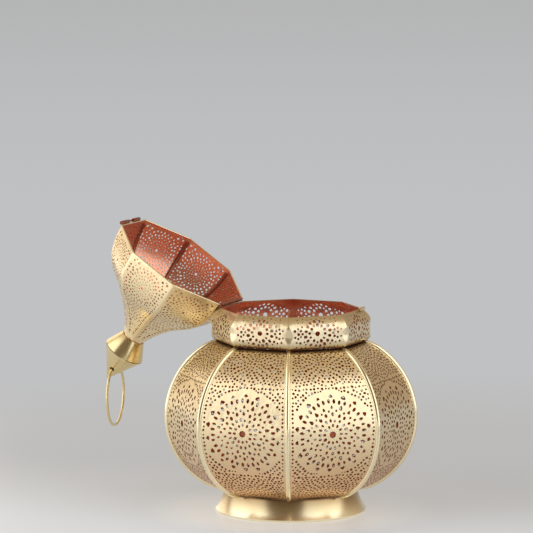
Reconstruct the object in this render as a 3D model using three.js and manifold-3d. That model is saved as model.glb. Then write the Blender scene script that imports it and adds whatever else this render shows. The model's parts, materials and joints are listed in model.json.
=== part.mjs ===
// A pierced brass lantern: a round foot, an eight-sided melon body with a collar, and a hinged
// dome lid that carries a double-cone finial and a hanging ring.
// Millimetres, +Z up. The origin is the middle of the face that the lantern stands on.
// The lid is drawn open, hanging on its hinge at -X, and the ring hangs down.
import * as THREE from "three";
import { mergeVertices } from "three/addons/utils/BufferGeometryUtils.js";
import Module from "manifold-3d";

const wasm = await Module();
wasm.setup();

// Driving dimensions. A radius of an eight-sided piece is measured at its corners.
const SIDES = 8;
const SHEET = 0.8; // thickness of the pierced sheet
const SOLDER_GAP = 0.3; // left between pieces that are soldered together

const FOOT_R = 59.5; // at the floor
const FOOT_HEIGHT = 16.7;
const FOOT_EDGE = 1.6; // height of the upright edge at the floor
const FOOT_WALL = 1.0;
const FOOT_WAIST_R = 54.6; // where the flare draws in
const FOOT_WAIST_Z = 7.5;
const FLOOR_THICKNESS = 0.8;

const CUP_R = 22;
const CUP_HEIGHT = 12;
const CUP_WALL = 0.8;

const BODY_R = 98.6; // at the widest corner
const BODY_BOTTOM_R = 56.6;
const NECK_R = 58.4;
const BODY_LOWER_ARC = 59.4; // radius of the side's curve below its widest point
const BODY_UPPER_ARC = 67.0; // and above it

const RIB_HALF_WIDTH = 1.9;
const RIB_RISE = 1.3; // above the corner that it covers
const RIB_TOP_CLEARANCE = 3.2; // from the rib's end to the neck
const RIB_FOOT_CLEARANCE = 0.6;

const COLLAR_R = 63.4;
const COLLAR_HEIGHT = 25.2;
const COLLAR_FOOT_RISE = 6.4; // height of the rounded lower edge
const COLLAR_SHOULDER_RISE = 9.5; // height of the shoulder that slopes in to the rim
const COLLAR_SHOULDER_BEND = 6.0; // how far below the rim the shoulder bends
const RIM_R = 56.3; // the collar's mouth, which the lid's rim matches

const LID_OPEN_DEG = 145.5; // how far the lid is turned back in the drawn pose
const LID_CLOSED_GAP = 1.2; // between the two rims when the lid is shut
const LID_HEIGHT = 76.2; // rim to neck
const LID_NECK_R = 9.6;
const LID_TURN_R = 37; // where the dome turns from swelling to hollow
const LID_TURN_Z = 41;
const LID_BELLY_R = 55.4; // control point above the rim
const LID_BELLY_Z = 20;
const LID_SHOULDER_R = 51; // control points either side of the turn
const LID_SHOULDER_Z = 30;
const LID_HOLLOW_R = 27.6;
const LID_HOLLOW_Z = 48.4;
const LID_THROAT_R = 12.8; // control point below the neck
const LID_THROAT_Z = 66;

const SEAM_HALF_WIDTH = 1.6; // angle strip inside each corner of the lid
const SEAM_THICKNESS = 0.7;
const SEAM_RIM_CLEARANCE = 2.5;
const SEAM_NECK_CLEARANCE = 4;

const TUBE_R = 1.5; // hinge and clasp tubes
const TUBE_BORE_R = 1.0;
const TUBE_CLEARANCE = 0.35; // round a tube, and between tube ends
const HINGE_OFFSET = 0.25; // from the outside of the rim out to the hinge's middle
const HINGE_RISE = 1.85; // and up from the collar's rim
const HINGE_HALF_LENGTH = 19.4;
const HINGE_LID_TUBE = 15.2;
const PIN_R = 0.75;
const PIN_HEAD_R = 1.25;
const PIN_HEAD = 0.6;
const CLASP_OFFSET = 2.0; // from the outside of the rim out to the clasp's middle
const CLASP_NEAR_TUBE = 11.4; // the lid's first clasp tube, at the -Y end of the side
const CLASP_SPACE = 9.2; // left open between the lid's two tubes, where the bolt's bead slides
const CLASP_FAR_TUBE = 11.4; // the rest of the side has the collar's tube
const BOLT_BEAD = 1.8; // length of the bead
const BOLT_BEAD_R = 1.4;

const FINIAL_R = 16.7;
const FINIAL_CUP_HEIGHT = 14.2;
const FINIAL_CONE_HEIGHT = 27.4;
const FINIAL_WALL = 1.0;
const FINIAL_TIP_R = 0.9;
const RING_HOLE_DROP = 11.2; // from the cone's tip to the holes that hold the ring
const RING_HOLE_R = 2.0;
const RING_HOLE_TURN_DEG = -12.7; // how far the holes' line is turned from the hinge's
const RING_R = 24.3; // to the middle of the wire
const RING_WIRE_R = 1.1;

const ROSETTE_EYE_R = 2.8; // in the middle of each body panel
const COLLAR_EYE_R = 2.05;

// Rings of pointed petals pierced in a body panel, in shares of the panel's half width.
const ROSETTE_RINGS = [
  { petals: 9, at: 0.25, length: 0.145, width: 0.11 },
  { petals: 9, at: 0.465, length: 0.21, width: 0.15 },
  { petals: 18, at: 0.74, length: 0.25, width: 0.112 },
];
const FAN_RING = { petals: 6, at: 0.27, length: 0.3, width: 0.16 }; // above and below the rosette
const FAN_SIDES = { petals: 2, at: 0.57, length: 0.2, width: 0.3 }; // one each side of a fan
const FAN_RISE = 0.735; // from the rosette's middle to a fan's, as a share of the side's arc
const CORNER_RING = { petals: 4, at: 1.02, length: 0.26, width: 0.2 }; // one in each corner

// The same for a lid panel, in shares of its half width at the rim.
const LID_ROSETTE_RINGS = [
  { petals: 5, at: 0.27, length: 0.22, width: 0.16 },
  { petals: 10, at: 0.6, length: 0.3, width: 0.19 },
];
const LID_ROSETTE_MARGIN = 3.4; // plain sheet between the rim and the rosette

// Fineness of the round pieces.
const ROUND_SIDES = 32;
const CUP_SIDES = 24;
const TUBE_SIDES = 14;
const WIRE_SIDES = 8;
const ARC_DIVISIONS = 4;
const CURVE_DIVISIONS = 6;
const EYE_SIDES = 8;

// Places that follow from the dimensions.
const HALF_SIDE = Math.PI / SIDES;
const FLAT = Math.cos(HALF_SIDE); // a side's distance from the axis, over its corner's
const PANEL_HALF_WIDTH = BODY_R * Math.sin(HALF_SIDE);
const LID_HALF_WIDTH = RIM_R * Math.sin(HALF_SIDE);
const BODY_BOTTOM_Z = FOOT_HEIGHT + SOLDER_GAP;
const LOWER_ARC_CENTRE = BODY_R - BODY_LOWER_ARC;
const UPPER_ARC_CENTRE = BODY_R - BODY_UPPER_ARC;
const LOWER_ARC_ANGLE = Math.acos((BODY_BOTTOM_R - LOWER_ARC_CENTRE) / BODY_LOWER_ARC);
const UPPER_ARC_ANGLE = Math.acos((NECK_R - UPPER_ARC_CENTRE) / BODY_UPPER_ARC);
const EQUATOR_Z = BODY_BOTTOM_Z + BODY_LOWER_ARC * Math.sin(LOWER_ARC_ANGLE);
const NECK_Z = EQUATOR_Z + BODY_UPPER_ARC * Math.sin(UPPER_ARC_ANGLE);
const COLLAR_BOTTOM_Z = NECK_Z + SOLDER_GAP;
const RIM_Z = COLLAR_BOTTOM_Z + COLLAR_HEIGHT;
const LID_Z = RIM_Z + LID_CLOSED_GAP;
const HINGE_X = RIM_R * FLAT + HINGE_OFFSET; // towards -X
const HINGE_Z = RIM_Z + HINGE_RISE;
const CLASP_X = RIM_R * FLAT + CLASP_OFFSET; // towards +X
const CLASP_Z = RIM_Z + LID_CLOSED_GAP / 2;
const FINIAL_Z = LID_Z + LID_HEIGHT + SOLDER_GAP;
const CONE_Z = FINIAL_Z + FINIAL_CUP_HEIGHT + SOLDER_GAP;
const RING_HOLE_Z = CONE_Z + FINIAL_CONE_HEIGHT - RING_HOLE_DROP;
const WHOLE_HEIGHT = CONE_Z + FINIAL_CONE_HEIGHT;
const FOOT_TOP_R = BODY_BOTTOM_R * FLAT + FOOT_WALL / 2; // under the middle of each side
const CONE_SLOPE = (FINIAL_R - FINIAL_TIP_R) / FINIAL_CONE_HEIGHT;
const RING_HOLE_SPAN = FINIAL_TIP_R + CONE_SLOPE * RING_HOLE_DROP - FINIAL_WALL / 2;
const RING_DROP = Math.sqrt(RING_R ** 2 - RING_HOLE_SPAN ** 2); // holes to the ring's middle
const LID_OPEN = THREE.MathUtils.degToRad(LID_OPEN_DEG);
const RING_HOLE_TURN = THREE.MathUtils.degToRad(RING_HOLE_TURN_DEG);
const RING_HANG = Math.atan2(Math.sin(LID_OPEN) * Math.cos(RING_HOLE_TURN), Math.cos(LID_OPEN));
const HINGE_LID_END = HINGE_LID_TUBE / 2;
const CLASP_NEAR_END = CLASP_NEAR_TUBE - HINGE_HALF_LENGTH;
const CLASP_FAR_START = CLASP_NEAR_END + CLASP_SPACE;
const CLASP_FAR_END = CLASP_FAR_START + CLASP_FAR_TUBE;

// Finishes: brass outside, copper lacquer inside.
const brass = new THREE.MeshStandardMaterial({ color: 0xd9bd85, roughness: 0.35, metalness: 0.9 });
const brightBrass = new THREE.MeshStandardMaterial({ color: 0xdcc384, roughness: 0.28, metalness: 0.95 });
const copper = new THREE.MeshStandardMaterial({ color: 0xa5553a, roughness: 0.4, metalness: 0.8 });

// Solids and their geometries

function solidOf(geometry) {
  const bare = geometry.clone();
  bare.deleteAttribute("normal");
  bare.deleteAttribute("uv");
  const merged = mergeVertices(bare);
  return new wasm.Manifold(
    new wasm.Mesh({
      numProp: 3,
      vertProperties: merged.attributes.position.array,
      triVerts: new Uint32Array(merged.index.array),
    }),
  );
}

function geometryOf(solid) {
  const mesh = solid.getMesh();
  const geometry = new THREE.BufferGeometry();
  geometry.setAttribute("position", new THREE.BufferAttribute(mesh.vertProperties, 3));
  geometry.setIndex(new THREE.BufferAttribute(mesh.triVerts, 1));
  geometry.computeVertexNormals();
  return geometry;
}

function outline(...pairs) {
  return pairs.map(([r, z]) => new THREE.Vector2(r, z));
}

// An outline in radius and height, turned about Z. Turn 0 faces -Y, and turns run towards +X.
function turned(points, sides, startTurn = 0) {
  return new THREE.LatheGeometry(points, sides, startTurn).rotateX(Math.PI / 2);
}

// Lays a piece that was turned about Z along Y.
function alongY(geometry) {
  return geometry.rotateX(-Math.PI / 2);
}

// A path's points from its lower end to its upper end, with a length left off at each end.
function pathPoints(path, divisions, startClearance = 0, endClearance = 0) {
  const drawn = path.getPoints(divisions);
  const points = drawn.filter((point, i) => i === 0 || point.distanceTo(drawn[i - 1]) > 1e-6);
  const last = points.length - 1;
  const startStep = points[1].clone().sub(points[0]);
  const endStep = points[last - 1].clone().sub(points[last]);
  points[0].addScaledVector(startStep, startClearance / startStep.length());
  points[last].addScaledVector(endStep, endClearance / endStep.length());
  return points;
}

// The closed outline of a band along a path, between two distances outwards from it.
// sideShare is 1 for a round piece, and FLAT for an eight-sided one.
function bandOutline(points, inner, outer, sideShare) {
  const offset = (distance) =>
    points.map((point, i) => {
      const before = points[Math.max(i - 1, 0)];
      const after = points[Math.min(i + 1, points.length - 1)];
      const along = after.clone().sub(before).normalize();
      return new THREE.Vector2(
        point.x + (along.y * distance) / sideShare,
        point.y - along.x * distance,
      );
    });
  const outside = offset(outer);
  return [...outside, ...offset(inner).reverse(), outside[0].clone()];
}

// One side of an eight-sided shell, the side that faces -Y.
function sidePanel(points) {
  const shell = turned(bandOutline(points, -SHEET, 0, FLAT), SIDES, HALF_SIDE);
  const reach = 2 * BODY_R;
  const apex = SOLDER_GAP / 2 / Math.sin(HALF_SIDE);
  const halfReach = reach * Math.tan(HALF_SIDE);
  const sector = new THREE.Shape();
  sector.moveTo(0, -apex);
  sector.lineTo(-halfReach, -apex - reach);
  sector.lineTo(halfReach, -apex - reach);
  const wedge = new THREE.ExtrudeGeometry(sector, { depth: WHOLE_HEIGHT, bevelEnabled: false });
  return solidOf(shell).intersect(solidOf(wedge));
}

// A strip along the corner that faces -Y, between two distances outwards from the sheet's outside.
function cornerStrip(points, inner, outer, halfWidth) {
  const shell = turned(bandOutline(points, inner, outer, FLAT), SIDES);
  const slab = new THREE.BoxGeometry(2 * halfWidth, 2 * BODY_R, 2 * WHOLE_HEIGHT);
  slab.translate(0, -BODY_R, 0);
  return geometryOf(solidOf(shell).intersect(solidOf(slab)));
}

// The room that the hinge takes along the lid's rim, on the side that faces -Y.
function hingeRoom() {
  const radius = TUBE_R + TUBE_CLEARANCE;
  const rod = new THREE.CylinderGeometry(radius, radius, 2 * RIM_R, TUBE_SIDES);
  rod.rotateZ(Math.PI / 2);
  rod.translate(0, -HINGE_X, HINGE_Z);
  return solidOf(rod);
}

// A cutter through the side that faces -Y. The shape is drawn in X and Z.
function piercing(shape, sides) {
  const options = { depth: 2 * BODY_R, bevelEnabled: false, curveSegments: sides / 2 };
  return solidOf(new THREE.ExtrudeGeometry(shape, options).rotateX(Math.PI / 2));
}

function eyeShape(radius, z) {
  const shape = new THREE.Shape();
  shape.absarc(0, z, radius, 0, 2 * Math.PI, false);
  return shape;
}

// A pointed petal of a ring, on a spoke that runs out from the ring's middle.
// sideWidth is the half width that the ring's shares are taken of.
// uprightShare shortens the petal upwards, for a part of the side that slopes.
function petalShape(ring, sideWidth, spoke, z, uprightShare) {
  const middle = ring.at * sideWidth;
  const halfLength = (ring.length * sideWidth) / 2;
  const halfWidth = (ring.width * sideWidth) / 2;
  const at = (out, across) =>
    new THREE.Vector2(
      out * Math.cos(spoke) - across * Math.sin(spoke),
      z + uprightShare * (out * Math.sin(spoke) + across * Math.cos(spoke)),
    );
  return new THREE.Shape([
    at(middle - halfLength, 0),
    at(middle, -halfWidth),
    at(middle + halfLength, 0),
    at(middle, halfWidth),
  ]);
}

// A panel with one ring of petals cut out of it.
function pierceRing(panel, ring, sideWidth, z, uprightShare = 1, firstSpoke = 0) {
  let pierced = panel;
  for (let petal = 0; petal < ring.petals; petal += 1) {
    const spoke = firstSpoke + (2 * Math.PI * petal) / ring.petals;
    const shape = petalShape(ring, sideWidth, spoke, z, uprightShare);
    pierced = pierced.subtract(piercing(shape, EYE_SIDES));
  }
  return pierced;
}

// A tube along Y between two places, with its middle on the origin's line.
function tube(from, to) {
  const wall = outline(
    [TUBE_R, from],
    [TUBE_R, to],
    [TUBE_BORE_R, to],
    [TUBE_BORE_R, from],
    [TUBE_R, from],
  );
  return alongY(turned(wall, TUBE_SIDES));
}

// Paths of the sheets, in radius and height

const bodyPath = new THREE.Path();
bodyPath.absarc(LOWER_ARC_CENTRE, EQUATOR_Z, BODY_LOWER_ARC, -LOWER_ARC_ANGLE, 0, false);
bodyPath.absarc(UPPER_ARC_CENTRE, EQUATOR_Z, BODY_UPPER_ARC, 0, UPPER_ARC_ANGLE, false);

const collarPath = new THREE.Path();
collarPath.moveTo(NECK_R, COLLAR_BOTTOM_Z);
collarPath.quadraticCurveTo(COLLAR_R, COLLAR_BOTTOM_Z, COLLAR_R, COLLAR_BOTTOM_Z + COLLAR_FOOT_RISE);
collarPath.lineTo(COLLAR_R, RIM_Z - COLLAR_SHOULDER_RISE);
collarPath.quadraticCurveTo(COLLAR_R, RIM_Z - COLLAR_SHOULDER_BEND, RIM_R, RIM_Z);

const lidPath = new THREE.Path();
lidPath.moveTo(RIM_R, LID_Z);
lidPath.bezierCurveTo(
  LID_BELLY_R,
  LID_Z + LID_BELLY_Z,
  LID_SHOULDER_R,
  LID_Z + LID_SHOULDER_Z,
  LID_TURN_R,
  LID_Z + LID_TURN_Z,
);
lidPath.bezierCurveTo(
  LID_HOLLOW_R,
  LID_Z + LID_HOLLOW_Z,
  LID_THROAT_R,
  LID_Z + LID_THROAT_Z,
  LID_NECK_R,
  LID_Z + LID_HEIGHT,
);

const footPath = new THREE.Path();
footPath.moveTo(FOOT_R, 0);
footPath.lineTo(FOOT_R, FOOT_EDGE);
footPath.quadraticCurveTo(FOOT_WAIST_R, FOOT_WAIST_Z, FOOT_TOP_R, FOOT_HEIGHT);

// The groups that move: the lid turns on the hinge, and the ring and the bolt ride on the lid.

const lantern = new THREE.Group();
const lidTurn = new THREE.Group();
lidTurn.position.set(-HINGE_X, 0, HINGE_Z);
lidTurn.rotation.y = -LID_OPEN;
lantern.add(lidTurn);

// Drawn shut, in the lantern's own frame.
const lid = new THREE.Group();
lid.position.set(HINGE_X, 0, -HINGE_Z);
lidTurn.add(lid);

const ringHang = new THREE.Group();
ringHang.position.set(0, 0, RING_HOLE_Z);
ringHang.rotation.set(0, RING_HANG, RING_HOLE_TURN, "ZYX");
lid.add(ringHang);

function add(group, name, geometry, material) {
  const mesh = new THREE.Mesh(geometry, material.clone());
  mesh.name = name;
  group.add(mesh);
  return mesh;
}

// Copies for every side or corner. Number 1 of the sides faces -Y, and 1 of the corners follows it.
function addSides(group, name, geometryFor, material) {
  for (let side = 0; side < SIDES; side += 1) {
    const mesh = add(group, `${name}_${side + 1}`, geometryFor(side), material);
    mesh.rotation.z = 2 * HALF_SIDE * side;
  }
}

function addCorners(group, name, geometry, material) {
  for (let corner = 0; corner < SIDES; corner += 1) {
    const mesh = add(group, `${name}_${corner + 1}`, geometry, material);
    mesh.rotation.z = HALF_SIDE * (2 * corner + 1);
  }
}

// Foot, floor and candle cup

const footOutline = bandOutline(pathPoints(footPath, CURVE_DIVISIONS), -FOOT_WALL, 0, 1);
add(lantern, "foot_ring", turned(footOutline, ROUND_SIDES), brightBrass);

const floorR = FOOT_R - FOOT_WALL - SOLDER_GAP;
const floorOutline = outline([0, 0], [floorR, 0], [floorR, FLOOR_THICKNESS], [0, FLOOR_THICKNESS]);
add(lantern, "floor_plate", turned(floorOutline, ROUND_SIDES), copper);

const cupOutline = outline(
  [0, 0],
  [CUP_R, 0],
  [CUP_R, CUP_HEIGHT],
  [CUP_R - CUP_WALL, CUP_HEIGHT],
  [CUP_R - CUP_WALL, CUP_WALL],
  [0, CUP_WALL],
);
const cup = add(lantern, "candle_cup", turned(cupOutline, CUP_SIDES), copper);
cup.position.z = FLOOR_THICKNESS + SOLDER_GAP;

// Body: eight pierced sides, with a rib over each corner

let bodyPanel = sidePanel(pathPoints(bodyPath, ARC_DIVISIONS));
bodyPanel = bodyPanel.subtract(piercing(eyeShape(ROSETTE_EYE_R, EQUATOR_Z), EYE_SIDES));
for (const ring of ROSETTE_RINGS) {
  bodyPanel = pierceRing(bodyPanel, ring, PANEL_HALF_WIDTH, EQUATOR_Z);
}
const upperFan = FAN_RISE * UPPER_ARC_ANGLE;
const upperFanZ = EQUATOR_Z + BODY_UPPER_ARC * Math.sin(upperFan);
const lowerFan = FAN_RISE * LOWER_ARC_ANGLE;
const lowerFanZ = EQUATOR_Z - BODY_LOWER_ARC * Math.sin(lowerFan);
for (const ring of [FAN_RING, FAN_SIDES]) {
  bodyPanel = pierceRing(bodyPanel, ring, PANEL_HALF_WIDTH, upperFanZ, Math.cos(upperFan));
  bodyPanel = pierceRing(bodyPanel, ring, PANEL_HALF_WIDTH, lowerFanZ, Math.cos(lowerFan));
}
bodyPanel = pierceRing(bodyPanel, CORNER_RING, PANEL_HALF_WIDTH, EQUATOR_Z, 1, Math.PI / 4);
const bodyPanelGeometry = geometryOf(bodyPanel);
addSides(lantern, "body_panel", () => bodyPanelGeometry, brass);

const ribPoints = pathPoints(bodyPath, ARC_DIVISIONS, RIB_FOOT_CLEARANCE, RIB_TOP_CLEARANCE);
const rib = cornerStrip(ribPoints, SOLDER_GAP, SOLDER_GAP + RIB_RISE, RIB_HALF_WIDTH);
addCorners(lantern, "body_rib", rib, brightBrass);

// Collar

const collarEyeZ = COLLAR_BOTTOM_Z + COLLAR_HEIGHT / 2;
const collarEye = piercing(eyeShape(COLLAR_EYE_R, collarEyeZ), EYE_SIDES);
const collarPanel = sidePanel(pathPoints(collarPath, ARC_DIVISIONS)).subtract(collarEye);
const collarGeometry = geometryOf(collarPanel);
addSides(lantern, "collar_panel", () => collarGeometry, brass);

// Lid: eight pierced sides, with an angle strip inside each corner. The side at -X gives room to the
// hinge.

const hingeSide = (3 * SIDES) / 4;
const lidOuterRing = LID_ROSETTE_RINGS.at(-1);
const lidRosetteReach = (lidOuterRing.at + lidOuterRing.length / 2) * LID_HALF_WIDTH;
const lidRosetteZ = LID_Z + LID_ROSETTE_MARGIN + lidRosetteReach;
let lidPanel = sidePanel(pathPoints(lidPath, CURVE_DIVISIONS));
for (const ring of LID_ROSETTE_RINGS) {
  lidPanel = pierceRing(lidPanel, ring, LID_HALF_WIDTH, lidRosetteZ, 1, Math.PI / 2);
}
const lidGeometry = geometryOf(lidPanel);
const lidHingeGeometry = geometryOf(lidPanel.subtract(hingeRoom()));
addSides(lid, "lid_panel", (side) => (side === hingeSide ? lidHingeGeometry : lidGeometry), brass);

const seamPoints = pathPoints(lidPath, CURVE_DIVISIONS, SEAM_RIM_CLEARANCE, SEAM_NECK_CLEARANCE);
const seamOutside = -SHEET - SOLDER_GAP;
const seam = cornerStrip(seamPoints, seamOutside - SEAM_THICKNESS, seamOutside, SEAM_HALF_WIDTH);
addCorners(lid, "lid_seam", seam, copper);

// Hinge: two tubes on the collar, one between them on the lid, and a pin through all three

const hingeTubes = [
  [lantern, "hinge_tube_near", -HINGE_HALF_LENGTH, -HINGE_LID_END - TUBE_CLEARANCE],
  [lid, "hinge_tube_lid", -HINGE_LID_END, HINGE_LID_END],
  [lantern, "hinge_tube_far", HINGE_LID_END + TUBE_CLEARANCE, HINGE_HALF_LENGTH],
];
for (const [group, name, from, to] of hingeTubes) {
  const mesh = add(group, name, tube(from, to), copper);
  mesh.position.set(-HINGE_X, 0, HINGE_Z);
}

const pinEnd = HINGE_HALF_LENGTH + TUBE_CLEARANCE;
const pinOutline = outline(
  [0, -pinEnd - PIN_HEAD],
  [PIN_HEAD_R, -pinEnd - PIN_HEAD],
  [PIN_HEAD_R, -pinEnd],
  [PIN_R, -pinEnd],
  [PIN_R, pinEnd],
  [PIN_HEAD_R, pinEnd],
  [PIN_HEAD_R, pinEnd + PIN_HEAD],
  [0, pinEnd + PIN_HEAD],
);
const pin = add(lantern, "hinge_pin", alongY(turned(pinOutline, TUBE_SIDES)), copper);
pin.position.set(-HINGE_X, 0, HINGE_Z);

// Clasp: a bolt slides in two tubes on the lid, towards +Y and into the tube on the collar

const claspTubes = [
  [lid, "clasp_tube_near", -HINGE_HALF_LENGTH, CLASP_NEAR_END, copper],
  [lid, "clasp_tube_far", CLASP_FAR_START, CLASP_FAR_END, copper],
  [lantern, "clasp_keeper", CLASP_FAR_END + TUBE_CLEARANCE, HINGE_HALF_LENGTH, brightBrass],
];
for (const [group, name, from, to, material] of claspTubes) {
  const mesh = add(group, name, tube(from, to), material);
  mesh.position.set(CLASP_X, 0, CLASP_Z);
}

const beadStart = CLASP_NEAR_END + TUBE_CLEARANCE;
const boltOutline = outline(
  [0, -HINGE_HALF_LENGTH],
  [PIN_R, -HINGE_HALF_LENGTH],
  [PIN_R, beadStart],
  [BOLT_BEAD_R, beadStart],
  [BOLT_BEAD_R, beadStart + BOLT_BEAD],
  [PIN_R, beadStart + BOLT_BEAD],
  [PIN_R, CLASP_FAR_END],
  [0, CLASP_FAR_END],
);
const bolt = add(lid, "clasp_bolt", alongY(turned(boltOutline, TUBE_SIDES)), copper);
bolt.position.set(CLASP_X, 0, CLASP_Z);

// Finial: a cup on the lid's neck, under a hollow cone that the ring passes through

const finialCupOutline = outline(
  [0, 0],
  [LID_NECK_R, 0],
  [FINIAL_R, FINIAL_CUP_HEIGHT],
  [FINIAL_R - FINIAL_WALL, FINIAL_CUP_HEIGHT],
  [LID_NECK_R - FINIAL_WALL, FINIAL_WALL],
  [0, FINIAL_WALL],
);
const finialCup = add(lid, "finial_cup", turned(finialCupOutline, ROUND_SIDES), brightBrass);
finialCup.position.z = FINIAL_Z;

const coneOutline = outline(
  [0, FINIAL_CONE_HEIGHT - (FINIAL_WALL + FINIAL_TIP_R) / CONE_SLOPE],
  [FINIAL_R - FINIAL_WALL, 0],
  [FINIAL_R, 0],
  [FINIAL_TIP_R, FINIAL_CONE_HEIGHT - FINIAL_TIP_R / 2],
  [0, FINIAL_CONE_HEIGHT],
);
const ringHole = new THREE.CylinderGeometry(RING_HOLE_R, RING_HOLE_R, 2 * FINIAL_R, TUBE_SIDES);
ringHole.rotateZ(RING_HOLE_TURN);
ringHole.translate(0, 0, FINIAL_CONE_HEIGHT - RING_HOLE_DROP);
const cone = solidOf(turned(coneOutline, ROUND_SIDES)).subtract(solidOf(ringHole));
const finialCone = add(lid, "finial_cone", geometryOf(cone), brightBrass);
finialCone.position.z = CONE_Z;

const ring = new THREE.TorusGeometry(RING_R, RING_WIRE_R, WIRE_SIDES, ROUND_SIDES);
ring.rotateY(Math.PI / 2);
ring.translate(0, 0, -RING_DROP);
add(ringHang, "hanging_ring", ring, brightBrass);

export default lantern;
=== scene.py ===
"""Looks of a pierced brass lantern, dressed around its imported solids.

A melon body of eight pierced sides stands on a round foot. An eight-sided collar carries a hinged dome
lid with a double-cone finial and a hanging ring. The sheet is brass outside and copper lacquer inside.
Sizes in the classes are millimetres, and meshes are metres.
"""
import json
import logging
import math
import random
from dataclasses import dataclass, field, replace
from enum import Enum, IntEnum
from typing import Callable, Optional, Sequence, Union

import bmesh
import bpy
from mathutils import Matrix, Vector


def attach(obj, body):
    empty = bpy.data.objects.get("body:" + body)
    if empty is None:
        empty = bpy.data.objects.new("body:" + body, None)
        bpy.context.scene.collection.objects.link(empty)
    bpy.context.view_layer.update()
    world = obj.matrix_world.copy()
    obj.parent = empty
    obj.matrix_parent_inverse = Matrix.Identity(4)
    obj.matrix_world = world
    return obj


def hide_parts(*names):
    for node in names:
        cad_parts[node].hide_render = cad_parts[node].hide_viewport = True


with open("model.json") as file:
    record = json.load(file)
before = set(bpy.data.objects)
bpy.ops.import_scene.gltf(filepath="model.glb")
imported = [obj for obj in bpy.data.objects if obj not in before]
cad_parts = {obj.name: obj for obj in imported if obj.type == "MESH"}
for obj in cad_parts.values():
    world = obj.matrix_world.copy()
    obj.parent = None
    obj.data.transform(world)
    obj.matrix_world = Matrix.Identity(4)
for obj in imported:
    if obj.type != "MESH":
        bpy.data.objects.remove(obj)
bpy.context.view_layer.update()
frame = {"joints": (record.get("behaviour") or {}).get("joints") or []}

MM = 0.001
SIDES = 8
HALF_SIDE = math.pi / SIDES
FLAT = math.cos(HALF_SIDE)
SLOPE = math.tan(HALF_SIDE)
SHEET = 0.8
SOLDER_GAP = 0.3
FOLD_GAP = 0.02
HALF_FOLD = FOLD_GAP / 2 / FLAT
SAME_PLACE = 1e-6
SHARP_DEGREES = 38.0
MOST_EASED = 0.4
LOG = logging.getLogger("lantern")

Socket = bpy.types.NodeSocket
Value = Union[float, int, bool, str, tuple, Socket, bpy.types.ID]
Inputs = dict[Union[str, int], Value]
Point = tuple[float, float]
Tone = tuple[float, float, float]
Span = tuple[float, float]


class Body(str, Enum):
    """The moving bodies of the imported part."""

    LANTERN = "lantern"
    LID = "lid"
    RING = "ring"
    BOLT = "bolt"


class Slot(str, Enum):
    """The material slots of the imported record."""

    SHEET = "brass_sheet"
    BRIGHT = "bright_brass"
    LACQUER = "copper_lacquer"


class HoleShape(IntEnum):
    """The outlines of the punches, in the order that the piercing tree picks them."""

    ROUND = 0
    DROP = 1


# Lines that the sheets and turned pieces follow


def arc(centre: Point, radius: float, start: float, end: float, steps: int) -> list[Point]:
    """Points along an arc.

    Args:
        centre: Radius and height of the arc's middle.
        radius: The arc's own radius.
        start: First angle, in radians from straight outwards.
        end: Last angle.
        steps: Number of steps between the two.

    Returns:
        Radius and height pairs.
    """
    angles = [start + (end - start) * step / steps for step in range(steps + 1)]
    return [(centre[0] + radius * math.cos(a), centre[1] + radius * math.sin(a)) for a in angles]


def bezier(controls: Sequence[Point], steps: int) -> list[Point]:
    """Points along a Bezier curve of any degree.

    Args:
        controls: The curve's control points.
        steps: Number of steps along it.

    Returns:
        Radius and height pairs.
    """
    degree = len(controls) - 1
    points = []
    for step in range(steps + 1):
        t = step / steps
        weights = [math.comb(degree, i) * t**i * (1 - t) ** (degree - i) for i in range(degree + 1)]
        points.append(tuple(sum(w * c[axis] for w, c in zip(weights, controls)) for axis in (0, 1)))
    return points


def joined(*stretches: Sequence[Point]) -> list[Point]:
    """One line from several stretches, without the doubled points where they meet."""
    points: list[Point] = []
    for stretch in stretches:
        points += [p for p in stretch if not points or math.dist(p, points[-1]) > SAME_PLACE]
    return points


@dataclass
class SheetPath:
    """The upright line that an eight-sided shell follows, from its lower edge to its upper edge.

    Attributes:
        points: Corner radius and height pairs.
    """

    points: list[Point]
    lengths: list[float] = field(init=False)

    def __post_init__(self) -> None:
        """Works out the length along the middle of a side, up to each point."""
        self.lengths = [0.0]
        for (r0, z0), (r1, z1) in zip(self.points, self.points[1:]):
            self.lengths.append(self.lengths[-1] + math.hypot((r1 - r0) * FLAT, z1 - z0))

    @property
    def length(self) -> float:
        """The length of a side's middle line."""
        return self.lengths[-1]

    def at(self, along: float) -> Point:
        """The corner radius and height at a length along the side's middle line."""
        for i, end in enumerate(self.lengths[1:]):
            if along <= end or i == len(self.lengths) - 2:
                share = (along - self.lengths[i]) / (end - self.lengths[i])
                (r0, z0), (r1, z1) = self.points[i], self.points[i + 1]
                return r0 + (r1 - r0) * share, z0 + (z1 - z0) * share
        raise ValueError("the path has no points")

    def along(self, height: float) -> float:
        """The length along the side's middle line at a height, on a path that only climbs."""
        for i, ((_, z0), (_, z1)) in enumerate(zip(self.points, self.points[1:])):
            if z1 >= height:
                share = (height - z0) / (z1 - z0)
                return self.lengths[i] + share * (self.lengths[i + 1] - self.lengths[i])
        return self.length

    def half_width(self, along: float) -> float:
        """Half of a side's width at a length along its middle line, up to the fold."""
        return self.at(along)[0] * FLAT * SLOPE - HALF_FOLD

    def middle_line(self) -> list[Vector]:
        """The middle line of the side that faces -Y, in metres."""
        return [Vector((0, -r * FLAT, z)) * MM for r, z in self.points]

    def corner_line(self, rise: float = 0.0) -> list[Vector]:
        """The line of a corner that faces -Y, raised outwards, in metres."""
        return [Vector((0, -(r + rise), z)) * MM for r, z in self.points]


# Meshes


def mesh_object(name: str, mesh: bpy.types.Mesh) -> bpy.types.Object:
    """Links a mesh to the scene as an object at the origin."""
    made = bpy.data.objects.new(name, mesh)
    bpy.context.scene.collection.objects.link(made)
    return made


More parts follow.
